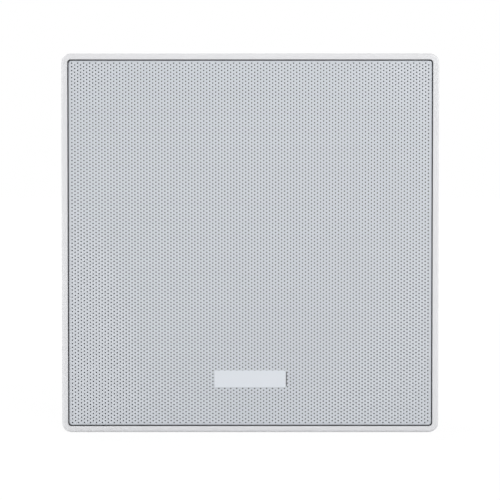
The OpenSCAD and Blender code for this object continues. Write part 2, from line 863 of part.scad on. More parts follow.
module tweeter_magnet() {
  color("gray") at_tweeter() translate([0, 0, pot_face - pot_h + pot_base])
    cylinder(r = tweeter_magnet_r, h = pot_h - pot_base - pole_plate_t);
}

module tweeter_pole_plate() {
  color("silver") at_tweeter() translate([0, 0, pot_face - pole_plate_t])
    cylinder(r = pole_plate_r, h = pole_plate_t);
}

module tweeter_tag_strip() {
  color("peru") at_tweeter() translate([-14, -5, pot_face - pot_h - strip_t]) cube([28, 10, strip_t]);
}

module tweeter_tags() {
  color("silver") at_tweeter() for (x = [-1, 1])
    translate([x * tweeter_tag_x - tag_w / 2, -tag_t / 2, pot_face - pot_h - strip_t - tweeter_tag_h])
      cube([tag_w, tag_t, tweeter_tag_h]);
}

module tweeter_screws() {
  color([0.2, 0.2, 0.2]) at_tweeter() on_diagonals(tweeter_screw_pcd_r) difference() {
    union() {
      translate([0, 0, -1.6]) cylinder(r1 = tweeter_screw_r, r2 = tweeter_screw_head_r, h = 1.6);
      translate([0, 0, -tweeter_screw_len]) cylinder(r = tweeter_screw_r, h = tweeter_screw_len - 1);
    }
    translate([0, 0, -0.9]) cylinder(r = 1.1, h = 2, $fn = 6);
  }
}

// Crossover

module crossover_board() {
  color("darkgreen") standing() translate([0, 0, back_t + post_h]) linear_extrude(board_t) difference() {
    translate([0, board_y]) square([board_w, board_h], center = true);
    for (p = board_spots) translate(p) circle(r = board_screw_r + hole_play);
  }
}

module coil_bobbin(r, bore, h) {
  difference() {
    union() {
      cylinder(r = r, h = bobbin_t);
      cylinder(r = bore + bobbin_wall, h = h);
      translate([0, 0, h - bobbin_t]) cylinder(r = r, h = bobbin_t);
    }
    translate([0, 0, -past]) cylinder(r = bore, h = h + 2 * past);
  }
}

module coil_winding(r, bore, h) {
  translate([0, 0, bobbin_t]) ring(r - 1, bore + bobbin_wall, h - 2 * bobbin_t);
}

module on_board(spot) {
  standing() translate([spot[0], spot[1], board_face]) children();
}

module bass_coil_bobbin() {
  color("ivory") on_board(bass_coil) coil_bobbin(bass_coil_r, bass_coil_bore, bass_coil_h);
}

module bass_coil_winding() {
  color("chocolate") on_board(bass_coil) coil_winding(bass_coil_r, bass_coil_bore, bass_coil_h);
}

module treble_coil_bobbin() {
  color("ivory") on_board(treble_coil) coil_bobbin(treble_coil_r, treble_coil_bore, treble_coil_h);
}

module treble_coil_winding() {
  color("chocolate") on_board(treble_coil) coil_winding(treble_coil_r, treble_coil_bore, treble_coil_h);
}

module capacitor(r, len) {
  difference() {
    translate([-len / 2, 0, r - capacitor_flat]) rotate([0, 90, 0]) cylinder(r = r, h = len);
    translate([-len, -r, -r]) cube([2 * len, 2 * r, r]);
  }
}

module capacitors() {
  color("goldenrod") {
    on_board([-board_w / 2 + capacitor_inset + capacitor_len / 2, board_high - capacitor_drop])
      capacitor(capacitor_r, capacitor_len);
    on_board([board_w / 2 - small_capacitor_inset - small_capacitor_len / 2,
        board_high - small_capacitor_drop])
      capacitor(small_capacitor_r, small_capacitor_len);
  }
}

module resistor() {
  color("whitesmoke")
    on_board([board_w / 2 - small_capacitor_inset - resistor_len / 2, board_high - resistor_drop])
      translate([-resistor_len / 2, -resistor_w / 2, 0]) cube([resistor_len, resistor_w, resistor_w]);
}

module board_screws() {
  color("silver") standing() for (p = board_spots) translate([p[0], p[1], board_face]) mirror([0, 0, 1])
    pan_screw(board_screw_r, board_screw_head_r, board_screw_head_h, board_screw_len);
}

// Terminals

module cup_screw_spots() {
  for (x = [-1, 1], y = [-1, 1])
    translate([x * (cup_flange_w / 2 - cup_screw_inset), y * (cup_flange_h / 2 - cup_screw_inset), 0])
      children();
}

// Turns u, the height above the cup's floor, into the cabinet's z
module from_cup_floor() {
  standing() translate([0, cup_y, cup_depth]) mirror([0, 0, 1]) children();
}

module terminal_cup() {
  color([0.12, 0.12, 0.13]) {
    difference() {
      union() {
        standing() translate([0, cup_y, 0]) difference() {
          union() {
            linear_extrude(cup_flange_t) rounded_rect(cup_flange_w, cup_flange_h, cup_flange_r);
            linear_extrude(cup_depth + cup_wall) rounded_rect(cup_w, cup_h, cup_r);
          }
          translate([0, 0, -past]) linear_extrude(cup_depth + past)
            rounded_rect(cup_w - 2 * cup_wall, cup_h - 2 * cup_wall, cup_r - cup_wall);
          cup_screw_spots() {
            rod_at(0, 0, -past, cup_flange_t + past, cup_screw_r + hole_play);
            translate([0, 0, -0.01])
              cylinder(r1 = cup_screw_head_r + 0.2, r2 = cup_screw_r + hole_play, h = 1.6);
          }
        }
        // cheeks that carry the lever pins, and the blocks with the wire holes
        from_cup_floor() {
          for (x = [-bay_x - bay_w / 2 - cheek_t, bay_x + bay_w / 2])
            translate([x, pivot_y - 5, -0.5]) cube([cheek_t, 10, cheek_u + 0.5]);
          translate([-bay_x + bay_w / 2, pivot_y - 5, -0.5]) cube([2 * bay_x - bay_w, 10, cheek_u + 0.5]);
          for (x = [-1, 1])
            translate([x * bay_x - bay_w / 2, wire_block_y, -0.5])
              cube([bay_w, wire_block_h, wire_block_u + 0.5]);
        }
      }
      from_cup_floor() {
        for (x = [-1, 1]) {
          translate([x * bay_x - bay_w / 2 - 2.2, pivot_y, pivot_u]) rotate([0, 90, 0])
            cylinder(r = pin_r + pin_gap, h = bay_w + 4.4);
          translate([x * bay_x, wire_block_y + wire_block_h / 2, wire_block_u - wire_hole_depth])
            cylinder(r = wire_hole_r, h = wire_hole_depth + past);
          translate([x * bay_x - strip_w / 2 - 0.05, wire_block_y + wire_block_h + 1, -cup_wall - past])
            cube([strip_w + 0.1, strip_thick + 0.1, cup_wall + 2 * past]);
        }
      }
    }
  }
}

module terminal_gasket() {
  color("black") standing() translate([0, cup_y, cup_flange_t]) linear_extrude(cup_seal_t) difference() {
    rounded_rect(cup_flange_w, cup_flange_h, cup_flange_r);
    rounded_rect(cup_w + 1, cup_h + 1, cup_r + 0.5);
    cup_screw_spots() circle(r = cup_screw_r + hole_play);
  }
}

module terminal_screws() {
  color("silver") standing() translate([0, cup_y, 0]) cup_screw_spots() difference() {
    union() {
      translate([0, 0, 0.1]) cylinder(r1 = cup_screw_head_r, r2 = cup_screw_r, h = 1.5);
      translate([0, 0, 1]) cylinder(r = cup_screw_r, h = cup_screw_len - 1);
    }
    translate([0, 0, -0.5]) cylinder(r = 1.2, h = 1.5, $fn = 6);
  }
}

// Lever drawn in its own side view, then given its width
module terminal_lever(x) {
  from_cup_floor() translate([x, pivot_y, pivot_u]) rotate([90, 0, 90]) {
    tip = [lever_tip_y - pivot_y, lever_tip_u - pivot_u];
    slope = atan2(tip[1], tip[0]);
    reach = norm(tip);
    translate([0, 0, -lever_w / 2]) linear_extrude(lever_w) {
      circle(r = hub_lever_r);
      rotate(slope) translate([0, -lever_t + 1.6]) square([reach, lever_t]);
      rotate(slope) translate([reach, -lever_t / 2 + 1.6]) circle(d = lever_t);
      // three grip ribs near the tip
      rotate(slope) for (n = [0 : 2]) translate([reach - 1.5 - 2 * n, 1.6 - lever_t]) circle(r = 0.6);
    }
    translate([0, 0, -bay_w / 2 - 2]) cylinder(r = pin_r, h = bay_w + 4);
  }
}

module lever_red() { color("firebrick") terminal_lever(bay_x); }
module lever_black() { color([0.1, 0.1, 0.1]) terminal_lever(-bay_x); }

module contact_strips() {
  color("silver") from_cup_floor() for (x = [-1, 1])
    translate([x * bay_x - strip_w / 2, wire_block_y + wire_block_h + 1.05, -cup_wall - strip_tail])
      cube([strip_w, strip_thick, cup_wall + strip_tail + strip_u]);
}

// Damping

module side_mat(turn, reach, span) {
  standing() rotate([0, 0, turn]) translate([reach - mat_t, -span / 2, mat_from])
    cube([mat_t, span, mat_to - mat_from]);
}

// The mats at the sides are in two pieces, above and below the middle screw well
module split_side_mat(turn) {
  difference() {
    side_mat(turn, cabinet_w / 2 - wall, cabinet_h - 2 * mat_end);
    standing() rotate([0, 0, turn])
      rod_at(cabinet_w / 2 - well_inset, 0, mat_from - past, mat_to + past, well_r + mat_play);
  }
}

module damping_mat_top() { color("gray") side_mat(90, cabinet_h / 2 - wall, cabinet_w - 2 * mat_end); }
module damping_mat_bottom() { color("gray") side_mat(-90, cabinet_h / 2 - wall, cabinet_w - 2 * mat_end); }
module damping_mat_right() { color("gray") split_side_mat(0); }
module damping_mat_left() { color("gray") split_side_mat(180); }

// Internal wires, each a tube swept along a smooth line through a few chosen points

wire_sides = 8;
wire_steps = 4;

// Catmull-Rom point between p[i] and p[i + 1]
function wire_point(p, i, t) =
  let (a = p[max(i - 1, 0)], b = p[i], c = p[i + 1], d = p[min(i + 2, len(p) - 1)])
  0.5 * (2 * b + (c - a) * t + (2 * a - 5 * b + 4 * c - d) * t * t + (3 * b - a - 3 * c + d) * t * t * t);
function wire_line(p) = concat(
  [for (i = [0 : len(p) - 2], s = [0 : wire_steps - 1]) wire_point(p, i, s / wire_steps)],
  [p[len(p) - 1]]);
// Headings along the line, square to the seats at both ends
function headings(p, line) = let (last = len(line) - 1, end = len(p) - 1)
  [for (i = [0 : last])
    i == 0 ? unit(p[1] - p[0]) :
    i == last ? unit(p[end] - p[end - 1]) :
    unit(line[i + 1] - line[i - 1])];
// A direction carried along the line without twist
function carried(h, i) = i == 0
  ? let (s = abs(h[0][0]) < 0.8 ? [1, 0, 0] : [0, 1, 0]) unit(s - (s * h[0]) * h[0])
  : let (s = carried(h, i - 1)) unit(s - (s * h[i]) * h[i]);

module wire(p) {
  line = wire_line(p);
  h = headings(p, line);
  n = wire_sides;
  rings = [for (i = [0 : len(line) - 1]) let (s = carried(h, i), o = cross(h[i], s))
    for (k = [0 : n - 1]) line[i] + wire_r * (cos(360 * k / n) * s + sin(360 * k / n) * o)];
  last = (len(line) - 1) * n;
  standing() polyhedron(points = rings, faces = concat(
    [[for (k = [0 : n - 1]) k]],
    [for (i = [0 : len(line) - 2], k = [0 : n - 1])
      let (a = i * n + k, b = i * n + (k + 1) % n) [a, a + n, b + n, b]],
    [[for (k = [n - 1 : -1 : 0]) last + k]]));
}

strip_end = cup_depth + cup_wall + strip_tail;
strip_y = cup_y + wire_block_y + wire_block_h + 1.05 + strip_thick / 2;
woofer_tag_y = woofer_y + woofer_tag_end;
woofer_tag_level = baffle_top - ledge_drop - basket_t - strip_t - tag_t / 2;
tweeter_tag_tip = baffle_top + pot_face - pot_h - strip_t - tweeter_tag_h;
pad_y = board_low + 5;          // row of solder pads along the board's lower edge
pad_x = board_w / 2 - 2.5;      // and the two at its right edge
cup_top = cup_y + cup_h / 2;
over_cup = cup_depth + cup_wall + 3;

module input_wire(x, pad) {
  wire([[x, strip_y, strip_end], [x, strip_y + 1, strip_end + 2], [x, strip_y + 8, strip_end + 1],
    [x * 0.9, cup_top, over_cup], [x * 0.6, (cup_top + pad_y) / 2, 20], [pad, pad_y - 9, 19],
    [pad, pad_y - 1, board_face + 6], [pad, pad_y, board_face + 3], [pad, pad_y, board_face]]);
}

module woofer_wire(x, pad) {
  wire([[x, woofer_tag_y, woofer_tag_level], [x, woofer_tag_y + 4, woofer_tag_level - 1],
    [x, woofer_tag_y + 8, woofer_tag_level - 10],
    [(x + pad) / 2, pad_y - 3, (woofer_tag_level + board_face) / 2],
    [pad, pad_y, board_face + 14], [pad, pad_y, board_face + 5], [pad, pad_y, board_face]]);
}

module tweeter_wire(x, rise) {
  wire([[x, tweeter_y, tweeter_tag_tip], [x, tweeter_y, tweeter_tag_tip - 5],
    [x + 8, tweeter_y - 1, tweeter_tag_tip - 14], [pad_x - 8, board_y + rise - 1, board_face + 33],
    [pad_x - 1, board_y + rise, board_face + 17], [pad_x, board_y + rise, board_face + 6],
    [pad_x, board_y + rise, board_face]]);
}

module input_wire_red() { color("firebrick") input_wire(bay_x, 2); }
module input_wire_black() { color([0.1, 0.1, 0.1]) input_wire(-bay_x, -2); }
module woofer_wire_red() { color("firebrick") woofer_wire(woofer_tag_x, 6); }
module woofer_wire_black() { color([0.1, 0.1, 0.1]) woofer_wire(-woofer_tag_x, -6); }
module tweeter_wire_red() { color("firebrick") tweeter_wire(tweeter_tag_x, 2); }
module tweeter_wire_black() { color([0.1, 0.1, 0.1]) tweeter_wire(-tweeter_tag_x, 8); }

front_frame();
rear_cabinet();
cabinet_gasket();
cabinet_screws();
threaded_inserts();
grille();
grille_cloth();
grille_seal();
badge();
woofer_basket();
woofer_seat_gasket();
woofer_trim_ring();
woofer_surround();
woofer_cone();
woofer_dust_cap();
woofer_spider();
woofer_coil_former();
woofer_voice_coil();
woofer_top_plate();
woofer_magnet();
woofer_yoke();
woofer_tag_strip();
woofer_tags();
woofer_screws();
tweeter_faceplate();
tweeter_gasket();
tweeter_dome();
tweeter_coil_former();
tweeter_voice_coil();
tweeter_pot();
tweeter_magnet();
tweeter_pole_plate();
tweeter_tag_strip();
tweeter_tags();
tweeter_screws();
crossover_board();
bass_coil_bobbin();
bass_coil_winding();
treble_coil_bobbin();
treble_coil_winding();
capacitors();
resistor();
board_screws();
terminal_cup();
terminal_gasket();
terminal_screws();
lever_red();
lever_black();
contact_strips();
damping_mat_top();
damping_mat_bottom();
damping_mat_left();
damping_mat_right();
input_wire_red();
input_wire_black();
woofer_wire_red();
woofer_wire_black();
tweeter_wire_red();
tweeter_wire_black();
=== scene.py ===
import math
import bpy
import numpy as np
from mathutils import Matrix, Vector


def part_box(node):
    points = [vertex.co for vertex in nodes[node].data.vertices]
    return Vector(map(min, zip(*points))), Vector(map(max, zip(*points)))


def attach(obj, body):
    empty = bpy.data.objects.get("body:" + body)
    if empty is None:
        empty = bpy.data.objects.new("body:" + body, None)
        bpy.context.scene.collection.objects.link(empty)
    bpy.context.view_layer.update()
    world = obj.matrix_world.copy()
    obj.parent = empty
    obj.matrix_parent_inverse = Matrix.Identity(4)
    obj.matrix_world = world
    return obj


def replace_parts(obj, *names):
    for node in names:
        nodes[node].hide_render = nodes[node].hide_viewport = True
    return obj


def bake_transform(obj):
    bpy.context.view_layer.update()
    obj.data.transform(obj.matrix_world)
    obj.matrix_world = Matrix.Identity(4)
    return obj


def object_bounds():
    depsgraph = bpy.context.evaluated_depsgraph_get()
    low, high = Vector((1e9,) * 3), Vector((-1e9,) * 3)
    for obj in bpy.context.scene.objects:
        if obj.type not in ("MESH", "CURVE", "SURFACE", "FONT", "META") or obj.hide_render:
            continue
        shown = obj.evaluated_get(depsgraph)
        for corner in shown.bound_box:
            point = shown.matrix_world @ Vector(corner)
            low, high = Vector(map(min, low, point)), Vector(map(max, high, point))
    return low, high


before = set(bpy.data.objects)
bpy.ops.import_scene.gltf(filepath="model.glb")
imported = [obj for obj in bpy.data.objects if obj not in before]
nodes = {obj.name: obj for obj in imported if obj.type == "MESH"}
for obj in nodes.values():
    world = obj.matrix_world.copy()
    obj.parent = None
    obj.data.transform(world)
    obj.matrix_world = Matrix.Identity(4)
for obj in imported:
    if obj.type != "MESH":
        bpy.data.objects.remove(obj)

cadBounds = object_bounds()
slotOf = {name: node.material_slots[0].material.name for name, node in nodes.items()}
print("frame loaded with", len(nodes), "nodes")

# Camera: straight in front, a little above the middle, as the photograph was taken

camera = {
    "distance": 1.2,        # from the front of the cabinet
    "height": 0.1445,       # above the surface that the loudspeaker stands on
    "aimX": -0.0001,
    "aimHeight": 0.1047,
    "lens": 151.1,          # millimetres, on a 36 mm sensor
}


def placeCamera(look):
    front = cadBounds[0].y
    lens = bpy.data.cameras.new("camera")
    lens.lens = look["lens"]
    lens.sensor_width = 36
    lens.clip_start = 0.01
    lens.clip_end = 50
    eye = bpy.data.objects.new("camera", lens)
    bpy.context.scene.collection.objects.link(eye)
    eye.location = (look["aimX"], front - look["distance"], look["height"])
    target = Vector((look["aimX"], front, look["aimHeight"]))
    eye.rotation_euler = (target - eye.location).to_track_quat("-Z", "Y").to_euler()
    bpy.context.scene.camera = eye


placeCamera(camera)
print("camera placed")

# Meshes


def gridQuads(rows, columns, wrap=True):
    # quads between the rows of a grid of points, each row joined round to its own start where it wraps
    i, j = np.meshgrid(np.arange(rows - 1), np.arange(columns if wrap else columns - 1), indexing="ij")
    k = (j + 1) % columns
    quads = [i * columns + j, i * columns + k, (i + 1) * columns + k, (i + 1) * columns + j]
    return np.stack(quads, -1).reshape(-1, 4)


def splitQuads(quads):
    # two triangles for each quad
    return np.concatenate([quads[:, [0, 1, 2]], quads[:, [0, 2, 3]]])


def rimWalls(faces, total):
    # quads from each edge that only one face has to the same edge of a second skin, whose points
    # are numbered from total
    edges = np.stack([faces, np.roll(faces, -1, axis=1)], -1).reshape(-1, 2)
    keys, backKeys = edges[:, 0] * total + edges[:, 1], edges[:, 1] * total + edges[:, 0]
    rim = edges[~np.isin(keys, backKeys)]
    return np.stack([rim[:, 1], rim[:, 0], rim[:, 0] + total, rim[:, 1] + total], 1)


def closedRings(rings, ring):
    # triangles over a stack of rings of points, with a fan from each end ring to one more point:
    # the rings' points come first, then the two ends
    j = np.arange(ring)
    k = (j + 1) % ring
    total = rings * ring
    last = total - ring
    first = np.stack([np.full(ring, total), k, j], 1)
    final = np.stack([np.full(ring, total + 1), last + j, last + k], 1)
    return np.concatenate([splitQuads(gridQuads(rings, ring)), first, final])


def makePiece(name, points, faces, material, body, sharpAngle=40):
    # one smooth-shaded object from arrays of points and of faces with equal numbers of sides;
    # a piece that will bend between two bodies is given none here
    sides = faces.shape[1]
    mesh = bpy.data.meshes.new(name)
    mesh.vertices.add(len(points))
    mesh.vertices.foreach_set("co", np.asarray(points, np.float32).ravel())
    mesh.loops.add(faces.size)
    mesh.loops.foreach_set("vertex_index", np.asarray(faces, np.int32).ravel())
    mesh.polygons.add(len(faces))
    mesh.polygons.foreach_set("loop_start", np.arange(0, faces.size, sides, dtype=np.int32))
    mesh.polygons.foreach_set("use_smooth", np.ones(len(faces), bool))
    mesh.update(calc_edges=True)
    mesh.validate()
    mesh.set_sharp_from_angle(angle=math.radians(sharpAngle))
    mesh.materials.append(material)
    piece = bpy.data.objects.new(name, mesh)
    bpy.context.scene.collection.objects.link(piece)
    if body:
        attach(piece, body)
    return piece


# Shader nodes


def addNode(tree, kind, sockets=None, **settings):
    # a node with its settings, and with plain values in its sockets, which are named or numbered
    node = tree.nodes.new(kind)
    for key, value in settings.items():
        setattr(node, key, value)
    for key, value in (sockets or {}).items():
        node.inputs[key].default_value = value
    return node


def mathNode(tree, operation, *values):
    # a Math node, each value a number or the socket that it comes from
    node = tree.nodes.new("ShaderNodeMath")
    node.operation = operation
    for socket, value in zip(node.inputs, values):
        if isinstance(value, (int, float)):
            socket.default_value = value
        else:
            tree.links.new(value, socket)
    return node.outputs[0]


def mixValues(tree, share, first, second):
    # a value between two others
    node = tree.nodes.new("ShaderNodeMix")
    for index, value in ((0, share), (2, first), (3, second)):
        if isinstance(value, (int, float)):
            node.inputs[index].default_value = value
        else:
            tree.links.new(value, node.inputs[index])
    return node.outputs[0]


def mixColours(tree, share, first, second):
    # a colour between two others
    node = addNode(tree, "ShaderNodeMix", data_type="RGBA")
    tree.links.new(share, node.inputs[0])
    for index, value in ((6, first), (7, second)):
        if isinstance(value, tuple):
            node.inputs[index].default_value = (*value, 1)
        else:
            tree.links.new(value, node.inputs[index])
    return node.outputs[2]


def openGroup(name, inputs, outputs):
    # an empty node group with its named sockets: inputs have a default value
    tree = bpy.data.node_groups.new(name, "ShaderNodeTree")
    for label, kind, value in inputs:
        tree.interface.new_socket(name=label, in_out="INPUT", socket_type=kind).default_value = value
    for label, kind in outputs:
        tree.interface.new_socket(name=label, in_out="OUTPUT", socket_type=kind)
    return tree, tree.nodes.new("NodeGroupInput").outputs, tree.nodes.new("NodeGroupOutput").inputs


def useGroup(tree, group, **values):
    # the group placed in a material with that material's own values
    node = tree.nodes.new("ShaderNodeGroup")
    node.node_tree = group
    for key, value in values.items():
        node.inputs[key].default_value = value
    return node.outputs


number, direction, result = "NodeSocketFloat", "NodeSocketVector", "NodeSocketFloat"


def grainGroup():
    # Grain: the texture of a mould or of a spray coat, a fine noise laid over a slow waviness
    tree, given, made = openGroup(
        "surfaceGrain",
        [("Grain", number, 1400.0), ("Waves", number, 60.0), ("Waviness", number, 0.3)],
        [("Height", result), ("Mask", result)])
    place = addNode(tree, "ShaderNodeTexCoord")
    fine = addNode(tree, "ShaderNodeTexNoise", {"Detail": 3.0, "Roughness": 0.6})
    slow = addNode(tree, "ShaderNodeTexNoise", {"Detail": 1.0})
    for noise, scale in ((fine, "Grain"), (slow, "Waves")):
        tree.links.new(place.outputs["Object"], noise.inputs["Vector"])
        tree.links.new(given[scale], noise.inputs["Scale"])
    tree.links.new(mixValues(tree, given["Waviness"], fine.outputs[0], slow.outputs[0]), made["Height"])
    tree.links.new(mixValues(tree, 0.5, fine.outputs[0], slow.outputs[0]), made["Mask"])
    return tree


def brushGroup():
    # Brushing: noise pulled out along one direction by a mapping that is small in that direction, and
    # in the mask the brightest lines are levelled off
    tree, given, made = openGroup(
        "brushing",
        [("Stretch", direction, (1.0, 1.0, 0.05)), ("Fineness", number, 3000.0)],
        [("Height", result), ("Mask", result)])
    place = addNode(tree, "ShaderNodeTexCoord")
    pull = addNode(tree, "ShaderNodeMapping")
    tree.links.new(place.outputs["Object"], pull.inputs["Vector"])
    tree.links.new(given["Stretch"], pull.inputs["Scale"])
    noise = addNode(tree, "ShaderNodeTexNoise", {"Detail": 4.0, "Roughness": 0.65})
    tree.links.new(pull.outputs[0], noise.inputs["Vector"])
    tree.links.new(given["Fineness"], noise.inputs["Scale"])
    tree.links.new(noise.outputs[0], made["Height"])
    tree.links.new(mathNode(tree, "SMOOTH_MIN", noise.outputs[0], 0.7, 0.1), made["Mask"])
    return tree


def weaveGroup():
    # Weave: threads along x and along z are the ridges abs(sin(pi z / pitch)) and abs(sin(pi x / pitch)),
    # and the sign of the product of both sines says which one lies on top. The other shows at 0.6 of
    # its height.
    tree, given, made = openGroup(
        "plainWeave",
        [("Pitch", number, 0.0006), ("Fray", number, 0.0001)],
        [("Height", result), ("Mask", result)])
    place = addNode(tree, "ShaderNodeTexCoord")
    fuzz = addNode(tree, "ShaderNodeTexNoise", {"Scale": 900.0, "Detail": 2.0})
    tree.links.new(place.outputs["Object"], fuzz.inputs["Vector"])
    fray = mathNode(tree, "MULTIPLY", mathNode(tree, "SUBTRACT", fuzz.outputs[0], 0.5), given["Fray"])
    axes = addNode(tree, "ShaderNodeSeparateXYZ")
    tree.links.new(place.outputs["Object"], axes.inputs[0])
    sines = []
    for axis in ("X", "Z"):
        turns = mathNode(tree, "DIVIDE", mathNode(tree, "ADD", axes.outputs[axis], fray), given["Pitch"])
        sines.append(mathNode(tree, "SINE", mathNode(tree, "MULTIPLY", turns, math.pi)))
    acrossRidge = mathNode(tree, "ABSOLUTE", sines[0])
    alongRidge = mathNode(tree, "ABSOLUTE", sines[1])
    onTop = mathNode(tree, "GREATER_THAN", mathNode(tree, "MULTIPLY", sines[0], sines[1]), 0.0)
    top = mixValues(tree, onTop, acrossRidge, alongRidge)
    under = mixValues(tree, onTop, alongRidge, acrossRidge)
    height = mathNode(tree, "MAXIMUM", top, mathNode(tree, "MULTIPLY", under, 0.6))
    uneven = mixValues(tree, 0.5, fuzz.outputs[0], 1.0)
    tree.links.new(height, made["Height"])
    tree.links.new(mathNode(tree, "MULTIPLY", height, uneven), made["Mask"])
    return tree


def turnsGroup():
    # Turns: the ridges of wound wire, (1 + sin(2 pi d / pitch)) / 2, with d the distance along
    # the winding's axis
    tree, given, made = openGroup(
        "windingTurns",
        [("Axis", direction, (0.0, 1.0, 0.0)), ("Pitch", number, 0.0003)],
        [("Height", result), ("Mask", result)])
    place = addNode(tree, "ShaderNodeTexCoord")
    along = addNode(tree, "ShaderNodeVectorMath", operation="DOT_PRODUCT")
    tree.links.new(place.outputs["Object"], along.inputs[0])
    tree.links.new(given["Axis"], along.inputs[1])
    turns = mathNode(tree, "DIVIDE", along.outputs["Value"], given["Pitch"])
    wave = mathNode(tree, "SINE", mathNode(tree, "MULTIPLY", turns, 2 * math.pi))
    height = mathNode(tree, "MULTIPLY_ADD", wave, 0.5, 0.5)
    noise = addNode(tree, "ShaderNodeTexNoise", {"Scale": 400.0, "Detail": 2.0})
    tree.links.new(place.outputs["Object"], noise.inputs["Vector"])
    tree.links.new(height, made["Height"])
    tree.links.new(mathNode(tree, "MULTIPLY", height, noise.outputs[0]), made["Mask"])
    return tree


def dustGroup():
    # Dust: lies where the surface looks up, more in patches, as a noise times the cube of the normal's
    # upward part
    tree, given, made = openGroup("settledDust", [("Amount", number, 0.15)], [("Mask", result)])
    place = addNode(tree, "ShaderNodeTexCoord")
    axes = addNode(tree, "ShaderNodeSeparateXYZ")
    tree.links.new(place.outputs["Normal"], axes.inputs[0])
    patches = addNode(tree, "ShaderNodeTexNoise", {"Scale": 90.0, "Detail": 5.0, "Roughness": 0.7})
    tree.links.new(place.outputs["Object"], patches.inputs["Vector"])
    upward = mathNode(tree, "MAXIMUM", axes.outputs["Z"], 0.0)
    dust = mathNode(tree, "MULTIPLY", mathNode(tree, "POWER", upward, 3.0), patches.outputs[0])
    tree.links.new(mathNode(tree, "MULTIPLY", dust, given["Amount"]), made["Mask"])
    return tree


surfaceGrain = grainGroup()
brushing = brushGroup()
plainWeave = weaveGroup()
windingTurns = turnsGroup()
settledDust = dustGroup()


def openMaterial(name, roughness, **fixed):
    # a material with its Principled shader, whose plain values go straight into its sockets
    material = bpy.data.materials.new(name)
    material.use_nodes = True
    tree = material.node_tree
    shader = tree.nodes["Principled BSDF"]
    shader.inputs["Roughness"].default_value = roughness
    for key, value in fixed.items():
        shader.inputs[key].default_value = value
    return material, tree, shader.inputs


def setColour(tree, sockets, mask, low, high):
    tree.links.new(mixColours(tree, mask, low, high), sockets["Base Color"])


def setRoughness(tree, sockets, mask, low, high):
    tree.links.new(mixValues(tree, mask, low, high), sockets["Roughness"])


def setBump(tree, sockets, height, depth):
    bump = addNode(tree, "ShaderNodeBump", {"Distance": depth, "Strength": 1.0})
    tree.links.new(height, bump.inputs["Height"])
    tree.links.new(bump.outputs[0], sockets["Normal"])


dustColour = (0.42, 0.4, 0.37)


def grainedFinish(name, look):
    # moulded plastic, rubber, enamel or powder coat: grain in height, in shade and in roughness
    fixed = {"IOR": 1.46, "Metallic": look.get("metallic", 0.0)}
    material, tree, sockets = openMaterial(name, look["rough"][0], **fixed)
    grain = useGroup(tree, surfaceGrain, Grain=look["grain"], Waves=look["waves"], Waviness=look["waviness"])
    colour = mixColours(tree, grain["Mask"], look["low"], look["high"])
    if look.get("dust"):
        dust = useGroup(tree, settledDust, Amount=look["dust"])
        colour = mixColours(tree, dust["Mask"], colour, dustColour)
    tree.links.new(colour, sockets["Base Color"])
    setRoughness(tree, sockets, grain["Mask"], *look["rough"])
    setBump(tree, sockets, grain["Height"], look["depth"])
    return material


def brushedFinish(name, look):
    # bare, plated or rolled metal: fine lines in one direction
    material, tree, sockets = openMaterial(name, look["rough"][0], Metallic=1.0)
    lines = useGroup(tree, brushing, Stretch=look["stretch"], Fineness=look["fineness"])
    setColour(tree, sockets, lines["Mask"], look["low"], look["high"])
    setRoughness(tree, sockets, lines["Mask"], *look["rough"])
    setBump(tree, sockets, lines["Height"], look["depth"])
    return material


def wovenFinish(name, look):
    # cloth: a plain weave, with a soft sheen from the loose fibres
    material, tree, sockets = openMaterial(
        name, look["rough"], **{"Sheen Weight": look["sheen"], "Sheen Roughness": 0.5})
    threads = useGroup(tree, plainWeave, Pitch=look["pitch"], Fray=look["fray"])
    setColour(tree, sockets, threads["Mask"], look["low"], look["high"])
    setBump(tree, sockets, threads["Height"], look["depth"])
    return material


def woundFinish(name, look):
    # enamelled wire in close turns
    material, tree, sockets = openMaterial(
        name, look["rough"][0], Metallic=1.0, **{"Coat Weight": 0.6, "Coat Roughness": 0.12})
    turns = useGroup(tree, windingTurns, Axis=look["axis"], Pitch=look["pitch"])
    setColour(tree, sockets, turns["Mask"], look["low"], look["high"])
    setRoughness(tree, sockets, turns["Mask"], *look["rough"])
    setBump(tree, sockets, turns["Height"], look["depth"])
    return material


def boardFinish(name, look):
    # circuit board: broad copper fields seen through the lacquer, kept apart by the lines where
    # the cells of a square-metric Voronoi pattern meet
    material, tree, sockets = openMaterial(
        name, look["rough"][0], **{"Coat Weight": 0.5, "Coat Roughness": 0.1})
    place = addNode(tree, "ShaderNodeTexCoord")
    fields = addNode(tree, "ShaderNodeTexVoronoi", {"Scale": look["fields"], "Randomness": 0.8},
                     feature="F1", distance="CHEBYCHEV")
    tree.links.new(place.outputs["Object"], fields.inputs["Vector"])
    gaps = mathNode(tree, "GREATER_THAN", fields.outputs["Distance"], look["fieldEdge"])
    weave = useGroup(tree, plainWeave, Pitch=look["pitch"], Fray=0.0)
    field = mixColours(tree, gaps, look["copper"], look["lacquer"])
    tree.links.new(mixColours(tree, weave["Mask"], field, look["shade"]), sockets["Base Color"])
    setRoughness(tree, sockets, weave["Mask"], *look["rough"])
    setBump(tree, sockets, gaps, look["depth"])
    return material


